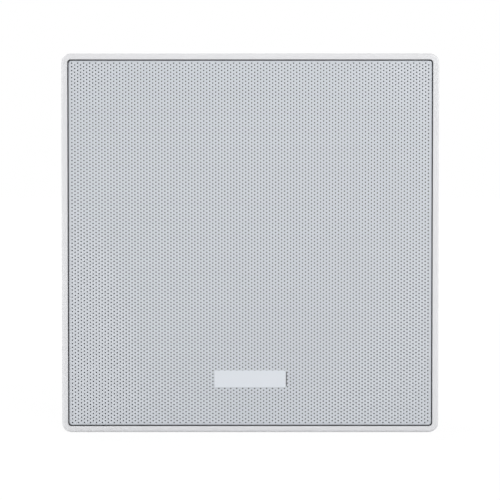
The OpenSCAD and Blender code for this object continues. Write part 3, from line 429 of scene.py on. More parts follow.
whiteShell = grainedFinish("whiteShell", {
    "low": (0.738, 0.741, 0.757), "high": (0.752, 0.755, 0.771), "rough": (0.42, 0.52),
    "grain": 1500.0, "waves": 45.0, "waviness": 0.35, "depth": 0.00003, "dust": 0.03})
grilleCoat = grainedFinish("grilleCoat", {
    "low": (0.6, 0.626, 0.665), "high": (0.627, 0.653, 0.694), "rough": (0.38, 0.48),
    "grain": 1200.0, "waves": 160.0, "waviness": 0.4, "depth": 0.00004})
badgeCoat = grainedFinish("badgeCoat", {
    "low": (0.71, 0.742, 0.788), "high": (0.735, 0.768, 0.815), "rough": (0.3, 0.38),
    "grain": 1800.0, "waves": 200.0, "waviness": 0.2, "depth": 0.000006})
blackTrim = grainedFinish("blackTrim", {
    "low": (0.02, 0.02, 0.022), "high": (0.035, 0.035, 0.038), "rough": (0.45, 0.6),
    "grain": 1600.0, "waves": 80.0, "waviness": 0.2, "depth": 0.00008, "dust": 0.1})
cupPlastic = grainedFinish("cupPlastic", {
    "low": (0.017, 0.017, 0.019), "high": (0.03, 0.03, 0.033), "rough": (0.4, 0.55),
    "grain": 1300.0, "waves": 60.0, "waviness": 0.25, "depth": 0.00009, "dust": 0.08})
# black rubber of the grille's seal, also used for the badge's dark pad that paints a shadow line
sealRubberAndPaintedShadow = grainedFinish("sealRubberAndPaintedShadow", {
    "low": (0.05, 0.05, 0.053), "high": (0.08, 0.08, 0.085), "rough": (0.7, 0.85),
    "grain": 2200.0, "waves": 120.0, "waviness": 0.3, "depth": 0.00002, "dust": 0.1})
surroundRubber = grainedFinish("surroundRubber", {
    "low": (0.02, 0.02, 0.022), "high": (0.035, 0.035, 0.037), "rough": (0.5, 0.62),
    "grain": 2600.0, "waves": 70.0, "waviness": 0.4, "depth": 0.00001, "dust": 0.2})
basketEnamel = grainedFinish("basketEnamel", {
    "low": (0.022, 0.022, 0.024), "high": (0.04, 0.04, 0.042), "rough": (0.4, 0.55),
    "grain": 1100.0, "waves": 220.0, "waviness": 0.5, "depth": 0.00004, "dust": 0.15})
screwBlack = grainedFinish("screwBlack", {
    "low": (0.03, 0.03, 0.032), "high": (0.06, 0.06, 0.062), "rough": (0.3, 0.45),
    "grain": 3000.0, "waves": 300.0, "waviness": 0.3, "depth": 0.00001, "metallic": 0.8})
ferriteGround = grainedFinish("ferriteGround", {
    "low": (0.045, 0.046, 0.05), "high": (0.085, 0.086, 0.092), "rough": (0.35, 0.5),
    "grain": 2400.0, "waves": 350.0, "waviness": 0.35, "depth": 0.00002, "dust": 0.2})
resistorCement = grainedFinish("resistorCement", {
    "low": (0.62, 0.6, 0.55), "high": (0.8, 0.78, 0.73), "rough": (0.7, 0.85),
    "grain": 2800.0, "waves": 400.0, "waviness": 0.3, "depth": 0.00006})
bobbinPlastic = grainedFinish("bobbinPlastic", {
    "low": (0.68, 0.65, 0.56), "high": (0.74, 0.71, 0.62), "rough": (0.4, 0.5),
    "grain": 1500.0, "waves": 90.0, "waviness": 0.4, "depth": 0.00002})
phenolicStrip = grainedFinish("phenolicStrip", {
    "low": (0.1, 0.04, 0.018), "high": (0.2, 0.09, 0.04), "rough": (0.4, 0.55),
    "grain": 1900.0, "waves": 500.0, "waviness": 0.5, "depth": 0.00002})
filmDip = grainedFinish("filmDip", {
    "low": (0.42, 0.24, 0.02), "high": (0.52, 0.31, 0.035), "rough": (0.18, 0.28),
    "grain": 500.0, "waves": 150.0, "waviness": 0.6, "depth": 0.00005})
leverRed = grainedFinish("leverRed", {
    "low": (0.33, 0.008, 0.008), "high": (0.4, 0.014, 0.012), "rough": (0.28, 0.38),
    "grain": 1700.0, "waves": 140.0, "waviness": 0.3, "depth": 0.000012, "dust": 0.05})
leverBlack = grainedFinish("leverBlack", {
    "low": (0.012, 0.012, 0.013), "high": (0.022, 0.022, 0.024), "rough": (0.28, 0.38),
    "grain": 1700.0, "waves": 140.0, "waviness": 0.3, "depth": 0.000012, "dust": 0.05})
sleeveRed = grainedFinish("sleeveRed", {
    "low": (0.34, 0.012, 0.01), "high": (0.42, 0.02, 0.016), "rough": (0.35, 0.45),
    "grain": 2500.0, "waves": 260.0, "waviness": 0.5, "depth": 0.00001, "dust": 0.1})
sleeveBlack = grainedFinish("sleeveBlack", {
    "low": (0.012, 0.012, 0.012), "high": (0.02, 0.02, 0.02), "rough": (0.35, 0.45),
    "grain": 2500.0, "waves": 260.0, "waviness": 0.5, "depth": 0.00001, "dust": 0.1})
wadding = grainedFinish("wadding", {
    "low": (0.35, 0.35, 0.34), "high": (0.62, 0.62, 0.6), "rough": (0.9, 1.0),
    "grain": 1500.0, "waves": 350.0, "waviness": 0.45, "depth": 0.0008})
conePaper = grainedFinish("conePaper", {
    "low": (0.02, 0.02, 0.024), "high": (0.05, 0.05, 0.056), "rough": (0.6, 0.8),
    "grain": 1900.0, "waves": 500.0, "waviness": 0.4, "depth": 0.00007, "dust": 0.15})
zincPlate = brushedFinish("zincPlate", {
    "low": (0.38, 0.39, 0.41), "high": (0.56, 0.57, 0.59), "rough": (0.28, 0.45),
    "stretch": (1.0, 0.3, 1.0), "fineness": 2500.0, "depth": 0.000006})
steelPlate = brushedFinish("steelPlate", {
    "low": (0.42, 0.43, 0.46), "high": (0.6, 0.61, 0.64), "rough": (0.28, 0.45),
    "stretch": (1.0, 0.2, 1.0), "fineness": 1800.0, "depth": 0.00001})
nickelMagnet = brushedFinish("nickelMagnet", {
    "low": (0.58, 0.56, 0.53), "high": (0.7, 0.68, 0.64), "rough": (0.1, 0.2),
    "stretch": (1.0, 1.0, 1.0), "fineness": 900.0, "depth": 0.000004})
tinnedTag = brushedFinish("tinnedTag", {
    "low": (0.55, 0.55, 0.53), "high": (0.72, 0.72, 0.7), "rough": (0.22, 0.36),
    "stretch": (1.0, 1.0, 0.2), "fineness": 1500.0, "depth": 0.00002})
turnedBrass = brushedFinish("turnedBrass", {
    "low": (0.4, 0.24, 0.07), "high": (0.64, 0.43, 0.15), "rough": (0.2, 0.36),
    "stretch": (0.2, 1.0, 0.2), "fineness": 6000.0, "depth": 0.000012})
formerFilm = brushedFinish("formerFilm", {
    "low": (0.52, 0.52, 0.53), "high": (0.66, 0.66, 0.67), "rough": (0.2, 0.32),
    "stretch": (1.0, 0.1, 1.0), "fineness": 2600.0, "depth": 0.000004})
grilleWeave = wovenFinish("grilleWeave", {
    "low": (0.035, 0.035, 0.038), "high": (0.065, 0.065, 0.07), "rough": 0.9, "sheen": 0.1,
    "pitch": 0.00055, "fray": 0.0001, "depth": 0.0001})
spiderWeave = wovenFinish("spiderWeave", {
    "low": (0.3, 0.17, 0.045), "high": (0.52, 0.33, 0.11), "rough": 0.75, "sheen": 0.1,
    "pitch": 0.0005, "fray": 0.00008, "depth": 0.00008})
domeSilk = wovenFinish("domeSilk", {
    "low": (0.012, 0.012, 0.014), "high": (0.03, 0.03, 0.034), "rough": 0.55, "sheen": 0.15,
    "pitch": 0.0003, "fray": 0.00003, "depth": 0.00003})
enamelledWire = woundFinish("enamelledWire", {
    "low": (0.28, 0.09, 0.03), "high": (0.66, 0.28, 0.13), "rough": (0.25, 0.4),
    "axis": (0.0, 1.0, 0.0), "pitch": 0.0005, "depth": 0.00012})
circuitBoard = boardFinish("circuitBoard", {
    "lacquer": (0.01, 0.06, 0.022), "copper": (0.025, 0.12, 0.045), "shade": (0.015, 0.08, 0.03),
    "rough": (0.3, 0.4), "fields": 90.0, "fieldEdge": 0.42, "pitch": 0.0009, "depth": 0.00004})

finishOf = {
    "white_shell": whiteShell, "grille_steel": grilleCoat, "badge_plate": badgeCoat,
    "black_cloth": grilleWeave, "black_seal": sealRubberAndPaintedShadow, "white_metal_zinc": zincPlate,
    "black_screw": screwBlack, "brass_insert": turnedBrass, "basket_steel": basketEnamel,
    "black_trim": blackTrim, "surround_rubber": surroundRubber, "cone_paper": conePaper,
    "spider_cloth": spiderWeave, "former_film": formerFilm, "copper_wire": enamelledWire,
    "plated_steel": steelPlate, "ferrite": ferriteGround, "nickel_magnet": nickelMagnet,
    "phenolic": phenolicStrip, "tinned_tag": tinnedTag, "dome_silk": domeSilk,
    "circuit_board": circuitBoard, "bobbin_plastic": bobbinPlastic, "film_can": filmDip,
    "resistor_body": resistorCement, "cup_plastic": cupPlastic, "red_lever": leverRed,
    "black_lever": leverBlack, "wadding": wadding, "red_sleeve": sleeveRed, "black_sleeve": sleeveBlack,
}

for name, node in nodes.items():
    for place in node.material_slots:
        place.material = finishOf[slotOf[name]]
print("materials assigned to", len(nodes), "nodes")

# Grille: one perforated sheet, folded back all round, made in four bands of columns side by side

perforated = {
    "columns": 120,             # even columns have one hole more than odd ones
    "rows": 101,
    "columnPitch": 0.0017129,   # between neighbouring columns, which are half a row apart in height
    "rowPitch": 0.0020577,
    "holeRadius": 0.0004,       # holes of 1.0 mm look darker here than the photograph's
    "thickness": 0.0008,
    "foldRadius": 0.0011,
    "cornerRadius": 0.0016,
    "foldRings": 6,
    "cornerSteps": 6,
    "bands": 4,
    "sharpAngle": 50,
}


def holeLattice(look):
    # Corner k of hole (column, row) is the hole's middle plus the radius at 22.5 + 45 k degrees
    columns, rows = np.meshgrid(np.arange(look["columns"]), np.arange(look["rows"]), indexing="ij")
    odd = columns % 2
    u = (columns - (look["columns"] - 1) / 2) * look["columnPitch"]
    v = (rows - (look["rows"] - 1 - odd) / 2) * look["rowPitch"]
    angle = np.radians(22.5 + 45 * np.arange(8))
    # the octagon has the area of the round hole
    reach = look["holeRadius"] * math.sqrt(math.pi / (2 * math.sqrt(2)))
    points = np.stack([u[..., None] + reach * np.cos(angle), v[..., None] + reach * np.sin(angle)], -1)
    return columns, rows, points.reshape(-1, 2)


def webFaces(look, columns, rows):
    # Metal between the holes: for each hole the quad to the hole above, those to the two holes on its right,
    # and the two that fill its own sides. Corners: 0 right upper, 1 top right, 2 top left, 3 left upper,
    # 4 left lower, 5 bottom left, 6 bottom right, 7 right lower.
    odd = columns % 2
    upper = rows + odd

    def exists(c, r):
        return (c >= 0) & (c < look["columns"]) & (r >= 0) & (r < look["rows"] - c % 2)

    def corner(c, r, k):
        return (c * look["rows"] + r) * 8 + k

    own = exists(columns, rows)
    above = own & exists(columns, rows + 1)
    rightUp, rightDown = own & exists(columns + 1, upper), own & exists(columns + 1, upper - 1)
    leftBoth = own & exists(columns - 1, upper) & exists(columns - 1, upper - 1)
    here, over = (columns, rows), (columns, rows + 1)
    ru, rd = (columns + 1, upper), (columns + 1, upper - 1)
    lu, ld = (columns - 1, upper), (columns - 1, upper - 1)
    kinds = [
        (above, [(here, 2), (here, 1), (over, 6), (over, 5)]),
        (rightUp, [(here, 0), (ru, 5), (ru, 4), (here, 1)]),
        (rightDown, [(here, 6), (rd, 3), (rd, 2), (here, 7)]),
        (rightUp & rightDown, [(here, 7), (rd, 2), (ru, 5), (here, 0)]),
        (leftBoth, [(here, 4), (here, 3), (lu, 6), (ld, 1)]),
    ]
    quads = [np.stack([corner(*hole, k)[mask] for hole, k in corners], 1) for mask, corners in kinds]
    owners = [columns[mask] for mask, _ in kinds]
    faces = splitQuads(np.concatenate(quads))
    return faces, np.tile(np.concatenate(owners), 2)


def outerChain(look):
    # Corners of the outermost holes in order round the sheet, and the side that each one faces:
    # 0 bottom, 1 right, 2 top, 3 left
    rows, last = look["rows"], look["columns"] - 1
    pairs = np.arange(0, look["columns"], 2)[:, None]

    def corners(c, r, ks):
        return (c * rows + r) * 8 + np.array(ks)

    bottom = np.hstack([corners(pairs, 0, [3, 4, 5, 6, 7, 0]), corners(pairs + 1, 0, [5, 6])]).ravel()[2:]
    right = corners(last, np.arange(rows - 1)[:, None], [6, 7, 0, 1]).ravel()
    topPairs = [corners(pairs + 1, rows - 2, [1, 2]), corners(pairs, rows - 1, [7, 0, 1, 2, 3, 4])]
    top = np.hstack(topPairs)[::-1].ravel()[:-2]
    left = corners(0, np.arange(rows)[::-1, None], [2, 3, 4, 5]).ravel()
    return [bottom, right, top, left]


def foldedSheet(flat, halfWidth, halfHeight, look, depth):
    # The flat sheet bends round a rounded rectangle: past its edge by s, a point goes out by R sin(s / R)
    # and back by R - R cos(s / R), and after a quarter turn straight back. depth 0 is the outer skin.
    radius, flatCorner = look["foldRadius"], look["cornerRadius"] - look["foldRadius"]
    limit = np.array([halfWidth, halfHeight]) - look["cornerRadius"]
    base = np.clip(flat, -limit, limit)
    away = flat - base
    length = np.linalg.norm(away, axis=1)
    heading = away / np.maximum(length, 1e-12)[:, None]
    past = np.maximum(length - flatCorner, 0)
    turn = np.minimum(past / radius, math.pi / 2)
    inner = radius - depth
    out = np.minimum(length, flatCorner) + inner * np.sin(turn)
    back = radius - inner * np.cos(turn) + np.maximum(past - radius * math.pi / 2, 0)
    place = base + heading * out[:, None]
    return np.stack([place[:, 0], back, place[:, 1]], 1)


def perforatedSheet(look):
    # The web of metal between the holes, with a border of rings that fold back round the edge, as an outer
    # and an inner skin joined by walls, and shared out among the bands by the columns of holes
    low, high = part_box("grille")
    middle, half = (low + high) / 2, (high - low) / 2
    columns, rows, holes = holeLattice(look)
    faces, owners = webFaces(look, columns, rows)

    # border: rings of points from the outermost holes to the end of the fold, and one at the flange's end
    limit = np.array([half.x, half.z]) - look["cornerRadius"]
    reach = look["cornerRadius"] - look["foldRadius"] + look["foldRadius"] * math.pi / 2
    flange = (high.y - low.y) - look["foldRadius"]
    chain, bases, turns = [], [], []
    for side, part in enumerate(outerChain(look)):
        axis, sign = side % 2, 1 if side in (0, 1) else -1
        start, steps = math.radians(90 * side - 90), look["cornerSteps"]
        # along the side, a point stands half way between its hole and an even spacing
        own = np.clip(holes[part, axis], -limit[axis], limit[axis])
        free = (own + sign * np.linspace(-limit[axis], limit[axis], len(part))) / 2
        fixed = np.full(len(part), limit[1 - axis] * (-1 if side in (0, 3) else 1))
        straight = np.stack([free, fixed] if axis == 0 else [fixed, free], 1)
        corner = limit * np.array([(1, -1), (1, 1), (-1, 1), (-1, -1)][side])
        chain += [part, np.full(steps, part[-1])]
        bases += [straight, np.tile(corner, (steps, 1))]
        turns += [np.full(len(part), start), start + np.linspace(0, math.pi / 2, steps)]
    chain, bases, turns = np.concatenate(chain), np.concatenate(bases), np.concatenate(turns)
    heading = np.stack([np.cos(turns), np.sin(turns)], 1)
    outline = bases + reach * heading
    shares = np.linspace(0, 1, look["foldRings"] + 1)[1:, None, None]
    rings = holes[chain] * (1 - shares) + outline * shares
    rings = np.concatenate([rings.reshape(-1, 2), outline + flange * heading])
    count = len(chain)
    ringNumbers = len(holes) + np.arange(len(rings)).reshape(-1, count)
    numbers = np.concatenate([chain[None], ringNumbers])
    follow = np.roll(numbers, -1, axis=1)
    border = np.stack([numbers[:-1], numbers[1:], follow[1:], follow[:-1]], -1).reshape(-1, 4)
    borderOwners = np.tile(chain // 8 // look["rows"], len(numbers) - 1)
    faces = np.concatenate([faces, splitQuads(border)])
    owners = np.concatenate([owners, borderOwners, borderOwners])
    whole = (faces[:, 0] != faces[:, 2]) & (faces[:, 0] != faces[:, 1]) & (faces[:, 1] != faces[:, 2])
    faces, owners = faces[whole], owners[whole]

    flat = np.concatenate([holes, rings])
    skins = [foldedSheet(flat, half.x, half.z, look, depth) for depth in (0, look["thickness"])]
    points = np.concatenate(skins) + np.array([middle.x, low.y, middle.z])
    total, perBand = len(flat), look["columns"] // look["bands"]
    for band in range(look["bands"]):
        front = faces[owners // perBand == band]
        walls = splitQuads(rimWalls(front, total))
        every = np.concatenate([front, front[:, ::-1] + total, walls])
        used, renumbered = np.unique(every, return_inverse=True)
        piece = makePiece("grilleSheet_%d" % (band + 1), points[used], renumbered.reshape(-1, 3),
                          grilleCoat, "cabinet", look["sharpAngle"])
        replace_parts(piece, "grille")
        print("grille band", band + 1, "has", len(every), "triangles")


perforatedSheet(perforated)

# Badge: a bare plate with a soft edge, on a dark pad that shows past its right end as a painted shadow line

badge = {
    "cornerRadius": 0.0006,
    "bevel": 0.00022,
    "cornerSteps": 6,
    "bevelSteps": 4,
    "faceInset": 0.0003,    # a last ring this far inside the bevel keeps the face flat
    # the pad is a dark strip that paints the plate's shadow along its right end
    "shadowPadHeight": 0.0003,
    "shadowPadShows": 0.00045,    # beyond the plate's right end
    "shadowPadInside": 0.0006,    # short of the plate's other edges
}


def roundedPlate(name, low, high, look, material):
    # Rings round a rounded rectangle: at angle a of the bevel a ring lies bevel (1 - cos a) further in
    # and bevel sin a further out towards the front, and the plate is closed by a fan at each end
    half = np.array([high.x - low.x, high.z - low.z]) / 2
    middle = np.array([low.x + high.x, low.z + high.z]) / 2
    bevelSize = min(look["bevel"], (high.y - low.y) / 2)
    turns = np.linspace(0, math.pi / 2, look["cornerSteps"] + 1)
    signs = np.array([(1, 1), (-1, 1), (-1, -1), (1, -1)])
    angles = turns[None] + np.arange(4)[:, None] * math.pi / 2
    around = np.stack([np.cos(angles), np.sin(angles)], -1).reshape(-1, 2)
    centres = np.repeat(signs * (half - look["cornerRadius"]), len(turns), axis=0)
    bevel = np.linspace(0, math.pi / 2, look["bevelSteps"] + 1)
    inset = np.concatenate([[0], bevelSize * (1 - np.cos(bevel))])
    ahead = np.concatenate([[0], high.y - low.y - bevelSize * (1 - np.sin(bevel))])
    outline = centres[None] + (look["cornerRadius"] - inset)[:, None, None] * around[None]
    flatEdge = outline[-1:] - look["faceInset"] * around[None]
    outline = np.concatenate([outline, flatEdge]) + middle
    ahead = np.append(ahead, ahead[-1])
    depth = high.y - np.repeat(ahead, len(around)).reshape(len(ahead), -1)
    rings = np.stack([outline[..., 0], depth, outline[..., 1]], -1).reshape(-1, 3)
    ends = np.array([[middle[0], high.y, middle[1]], [middle[0], low.y, middle[1]]])
    faces = closedRings(len(ahead), len(around))
    return makePiece(name, np.concatenate([rings, ends]), faces, material, "cabinet")


badgeLow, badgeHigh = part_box("badge")
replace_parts(roundedPlate("badgePlate", badgeLow, badgeHigh, badge, badgeCoat), "badge")
inside = badge["shadowPadInside"]
# painted shadow: a dark strip under the plate, showing only past its right end as the plate's shadow
roundedPlate("badgeShadowPad",
             Vector((badgeLow.x + inside, badgeHigh.y - badge["shadowPadHeight"], badgeLow.z + inside)),
             Vector((badgeHigh.x + badge["shadowPadShows"], badgeHigh.y, badgeHigh.z - inside)),
             badge, sealRubberAndPaintedShadow)
print("badge made")

# Cloth behind the grille: stretched flat, with the slight unevenness of a pulled weave

cloth = {"steps": 48, "ripple": 0.00004, "waves": 9.0}


def stretchedCloth(look):
    # Two skins over a grid: the front one lies lower by ripple (1 + sin(w x) sin(w z + 2 sin(w x / 3))) / 2
    low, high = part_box("grille_cloth")
    count = look["steps"] + 1
    s, t = np.meshgrid(np.linspace(0, 1, count), np.linspace(0, 1, count), indexing="ij")
    x, z = low.x + (high.x - low.x) * s, low.z + (high.z - low.z) * t
    w = look["waves"] * 2 * math.pi
    uneven = look["ripple"] * (1 + np.sin(w * s) * np.sin(w * t + 2 * np.sin(w * s / 3))) / 2
    front = np.stack([x, low.y + uneven, z], -1).reshape(-1, 3)
    back = np.stack([x, np.full_like(x, high.y), z], -1).reshape(-1, 3)
    quads = gridQuads(count, count, wrap=False)
    total = count * count
    faces = np.concatenate([quads, quads[:, ::-1] + total, rimWalls(quads, total)])
    points = np.concatenate([front, back])
    piece = makePiece("grilleCloth", points, faces, grilleWeave, "cabinet")
    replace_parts(piece, "grille_cloth")


stretchedCloth(cloth)
print("cloth made")

# Damping mats: crowned pads of wadding that lie against the walls

mats = {"squareness": 0.35, "steps": 40, "tufts": 0.0006, "tuftWaves": 1040.0, "sharpAngle": 60}


def matShell(low, high, look):
    # A superquadric: with e the squareness, x = cos(v)^e cos(u)^e, y = cos(v)^e sin(u)^e, z = sin(v)^e,
    # each power with the sign of its base, plus small tufts from a product of three sines
    def power(base):
        return np.sign(base) * np.abs(base) ** look["squareness"]

    count = look["steps"]
    v, u = np.meshgrid(np.linspace(-math.pi / 2, math.pi / 2, count + 1),
                       np.linspace(0, 2 * math.pi, 2 * count, endpoint=False), indexing="ij")
    level = power(np.cos(v))
    unit = np.stack([level * power(np.cos(u)), level * power(np.sin(u)), power(np.sin(v))], -1)
    middle, half = (low + high) / 2, (high - low) / 2
    sines = np.sin(look["tuftWaves"] * unit * half + [0, 1, 2])
    tufts = look["tufts"] * (1 + sines.prod(-1)) / 2
    points = middle + unit * (half - tufts[..., None])
    inner = points[1:-1].reshape(-1, 3)
    ends = np.stack([points[0].mean(0), points[-1].mean(0)])
    return np.concatenate([inner, ends]), closedRings(count - 1, 2 * count)


def dampingMat(name, look):
    # the mats at the sides are in two, above and below the screw wells at half height
    low, high = (np.array(corner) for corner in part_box(name))
    heights = np.array([v.co.z for v in nodes[name].data.vertices])
    middle = (cadBounds[0].z + cadBounds[1].z) / 2
    spans = [(low[2], high[2])]
    if low[2] < middle < high[2]:
        spans = [(low[2], heights[heights < middle].max()), (heights[heights > middle].min(), high[2])]
    parts, faces, start = [], [], 0
    for bottom, top in spans:
        points, quads = matShell(np.array([low[0], low[1], bottom]), np.array([high[0], high[1], top]), look)
        parts.append(points)
        faces.append(quads + start)
        start += len(points)
    label = "dampingPad_" + name.split("_")[-1]
    piece = makePiece(label, np.concatenate(parts), np.concatenate(faces),
                      wadding, "cabinet", look["sharpAngle"])
    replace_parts(piece, name)


for name in ("damping_mat_top", "damping_mat_bottom", "damping_mat_left", "damping_mat_right"):
    dampingMat(name, mats)
print("mats made")

# Suspensions: the surround, the spider and the roll of the tweeter's dome are made in arcs. Each arc flexes
# between the cabinet, outside, and the moving body, inside.

surround = {"arcs": 12, "steps": 8, "thickness": 0.0007, "rollRadius": 0.004, "rollSteps": 20,
            "outerLip": 0.0036, "innerLip": 0.0041}
spider = {"arcs": 6, "steps": 14, "thickness": 0.0005, "waves": 5, "waveSteps": 8,
          "outerLip": 0.0045, "innerLip": 0.002, "coilRadius": 0.01305}
domeRoll = {"arcs": 8, "steps": 8, "thickness": 0.00035, "rollRadius": 0.00115, "rollSteps": 12,
            "outerLip": 0.0014, "innerLip": 0.00015}
domeCap = {"thickness": 0.00035, "radius": 0.0125, "rings": 14, "ring": 64}


def rollSection(outer, look):
    # Half roll: at angle a its front lies R cos a inwards and R sin a forwards of its middle, and never lower
    # than the lips, and its back the same with R less the thickness. Points are (radius, height).
    radius, thickness = look["rollRadius"], look["thickness"]
    middle = outer - look["outerLip"] - radius
    inner = middle - radius - look["innerLip"]
    angle = np.linspace(0, math.pi, look["rollSteps"] + 1)
    front = np.stack([middle - radius * np.cos(angle), np.maximum(radius * np.sin(angle), thickness)], 1)
    small = radius - thickness
    back = np.stack([middle - small * np.cos(angle), small * np.sin(angle)], 1)
    front = np.vstack([[inner, thickness], front, [outer, thickness]])
    back = np.vstack([[inner, 0], back, [outer, 0]])
    return front, back, middle - radius, middle + radius


def wavySection(outer, height, look):
    # Corrugations: between the lips the sheet's height is h sin(2 pi n t), with t from 0 outside to 1 inside
    start, end = outer - look["outerLip"], look["coilRadius"] + look["innerLip"]
    t = np.linspace(1, 0, look["waves"] * look["waveSteps"] + 1)
    wave = np.stack([start + (end - start) * t, height * np.sin(2 * math.pi * look["waves"] * t)], 1)
    front = np.vstack([[look["coilRadius"], 0], wave, [outer, 0]])
    return front, front - [0, look["thickness"]], end, start


def flexArcs(label, node, level, section, look, material):
    # The closed section turned about the driver's axis in equal arcs, each closed at both ends, so that
    # neighbours agree at their ends.
    low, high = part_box(node)
    front, back, flexInner, flexOuter = section
    loop = np.concatenate([front, back[::-1]])
    i, total = np.arange(len(front) - 1), len(loop)
    end = np.stack([i, i + 1, total - 2 - i, total - 1 - i], 1)
    faces = np.concatenate([gridQuads(look["steps"] + 1, total), end[:, ::-1], end + look["steps"] * total])
    arc = 2 * math.pi / look["arcs"]
    centre = Vector(((low.x + high.x) / 2, level, (low.z + high.z) / 2))
    for index in range(look["arcs"]):
        angle = arc * (index + np.linspace(0, 1, look["steps"] + 1))[:, None]
        x, z = centre.x + np.cos(angle) * loop[:, 0], centre.z + np.sin(angle) * loop[:, 0]
        points = np.stack([x, np.broadcast_to(level - loop[:, 1], x.shape), z], -1).reshape(-1, 3)
        piece = makePiece("%s_%d" % (label, index + 1), points, faces, material, None)
        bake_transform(piece)
        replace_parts(piece, node)


def capDome(look, rim):
    # A spherical cap: its height over radius r is sqrt(B B - r r) - (B - rise), with B the ball's radius
    low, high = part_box("tweeter_dome")
    rise = high.y - low.y
    ball = (look["radius"] ** 2 + rise ** 2) / (2 * rise)
    radius = rim * np.linspace(0, 1, look["rings"] + 1)[1:]
    front = np.sqrt(ball ** 2 - radius ** 2) - (ball - rise)
    back = np.maximum(np.sqrt((ball - look["thickness"]) ** 2 - radius ** 2) - (ball - rise), 0)
    heights = np.concatenate([back, front[::-1]])[:, None]
    radius = np.concatenate([radius, radius[::-1]])[:, None]
    angle = np.linspace(0, 2 * math.pi, look["ring"], endpoint=False)
    centre = (low + high) / 2
    x, z = centre.x + radius * np.cos(angle), centre.z + radius * np.sin(angle)
    rings = np.stack([x, np.broadcast_to(high.y - heights, x.shape), z], -1).reshape(-1, 3)
    ends = np.array([[centre.x, low.y + look["thickness"], centre.z], [centre.x, low.y, centre.z]])
    faces = closedRings(len(heights), look["ring"])
    piece = makePiece("domeCap", np.concatenate([rings, ends]), faces, domeSilk, "tweeter_coil")
    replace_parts(piece, "tweeter_dome")


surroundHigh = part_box("woofer_surround")[1]
flexArcs("surroundArc", "woofer_surround", surroundHigh.y, rollSection(surroundHigh.x, surround),
         surround, surroundRubber)
spiderLow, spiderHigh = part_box("woofer_spider")
waveHeight = (spiderHigh.y - spiderLow.y - spider["thickness"]) / 2
spiderLevel = spiderLow.y + waveHeight
flexArcs("spiderArc", "woofer_spider", spiderLevel, wavySection(spiderHigh.x, waveHeight, spider),
         spider, spiderWeave)
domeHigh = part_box("tweeter_dome")[1]
rollOfDome = rollSection(domeHigh.x, domeRoll)
flexArcs("domeArc", "tweeter_dome", domeHigh.y, rollOfDome, domeRoll, domeSilk)
capDome(domeCap, rollOfDome[0][0, 0])
print("suspensions made")

# Screws that show from behind: turned outlines with a cross cut into each head, no two at the same angle

cupScrews = {"node": "terminal_screws", "perColumn": 2, "headRadius": 0.0029, "underRadius": 0.0015,
             "headHeight": 0.0016, "crown": 0.00012, "land": 0.0001, "shaftRadius": 0.0015, "point": 0.0012,
             "cutDepth": 0.0015, "cutReach": 0.0016, "armHalf": 0.0003, "soft": 0.00018}
wellScrews = {"node": "cabinet_screws", "perColumn": 3, "headRadius": 0.0038, "underRadius": 0.0038,
              "headHeight": 0.0026, "crown": 0.0009, "land": 0.0003, "shaftRadius": 0.002, "point": 0.002,
              "cutDepth": 0.002, "cutReach": 0.0022, "armHalf": 0.00042, "soft": 0.00024}
screwGrid = {"topRings": 26, "ring": 64, "turnStep": 2.4, "taper": 0.45}


def screwSurface(look, grid, length, turn):
    # The head's top falls by crown (r / R)^3. At (a, b) from the axis the cut is depth (1 - taper r / reach),
    # where min(|a|, |b|) is under the arm's half width and r under its reach, both edges softened.
    # Rings run from the head's middle to the point, and heights count down from the head's top.
    top = look["headRadius"] * np.linspace(0, 1, grid["topRings"] + 1)[1:]
    under, shaft, headHeight = look["underRadius"], look["shaftRadius"], look["headHeight"]
    radius = np.concatenate([top, [top[-1], under, shaft, shaft]])[:, None]
    crown = look["crown"] * (top / top[-1]) ** 3
    sides = [look["crown"] + look["land"], headHeight, headHeight + look["land"], length - look["point"]]
    fall = np.concatenate([crown, sides])[:, None]
    angle = np.linspace(0, 2 * math.pi, grid["ring"], endpoint=False)
    a, b = radius * np.cos(angle), radius * np.sin(angle)
    withinArm = np.clip((look["armHalf"] - np.minimum(abs(a), abs(b))) / look["soft"] + 0.5, 0, 1)
    withinReach = np.clip((look["cutReach"] - radius) / look["soft"] + 0.5, 0, 1)
    cut = look["cutDepth"] * (1 - grid["taper"] * radius / look["cutReach"]) * withinArm * withinReach
    cut[len(top):] = 0
    x = radius * np.cos(angle + turn)
    z = radius * np.sin(angle + turn)
    rings = np.stack([x, -(fall + cut), z], -1).reshape(-1, 3)
    points = np.vstack([rings, [0, -look["cutDepth"], 0], [0, -length, 0]])
    return points, closedRings(len(radius), grid["ring"])


def crossScrews(label, look, grid):
    # two columns of screws, at the left and right ends of the node's box
    low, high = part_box(look["node"])
    reach = look["headRadius"]
    heights = np.linspace(low.z + reach, high.z - reach, look["perColumn"])
    parts, faces, start = [], [], 0
    for x in (low.x + reach, high.x - reach):
        for z in heights:
            turn = grid["turnStep"] * len(parts)
            points, triangles = screwSurface(look, grid, high.y - low.y, turn)
            parts.append(points + [x, high.y, z])
            faces.append(triangles + start)
            start += len(points)
    slot = slotOf[look["node"]]
    piece = makePiece(label, np.concatenate(parts), np.concatenate(faces), finishOf[slot], "cabinet")
    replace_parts(piece, look["node"])


crossScrews("cupScrews", cupScrews, screwGrid)
crossScrews("wellScrews", wellScrews, screwGrid)
print("screws made")

# Floor, world and lamps: a plain level all round, a little brighter from the upper right in front

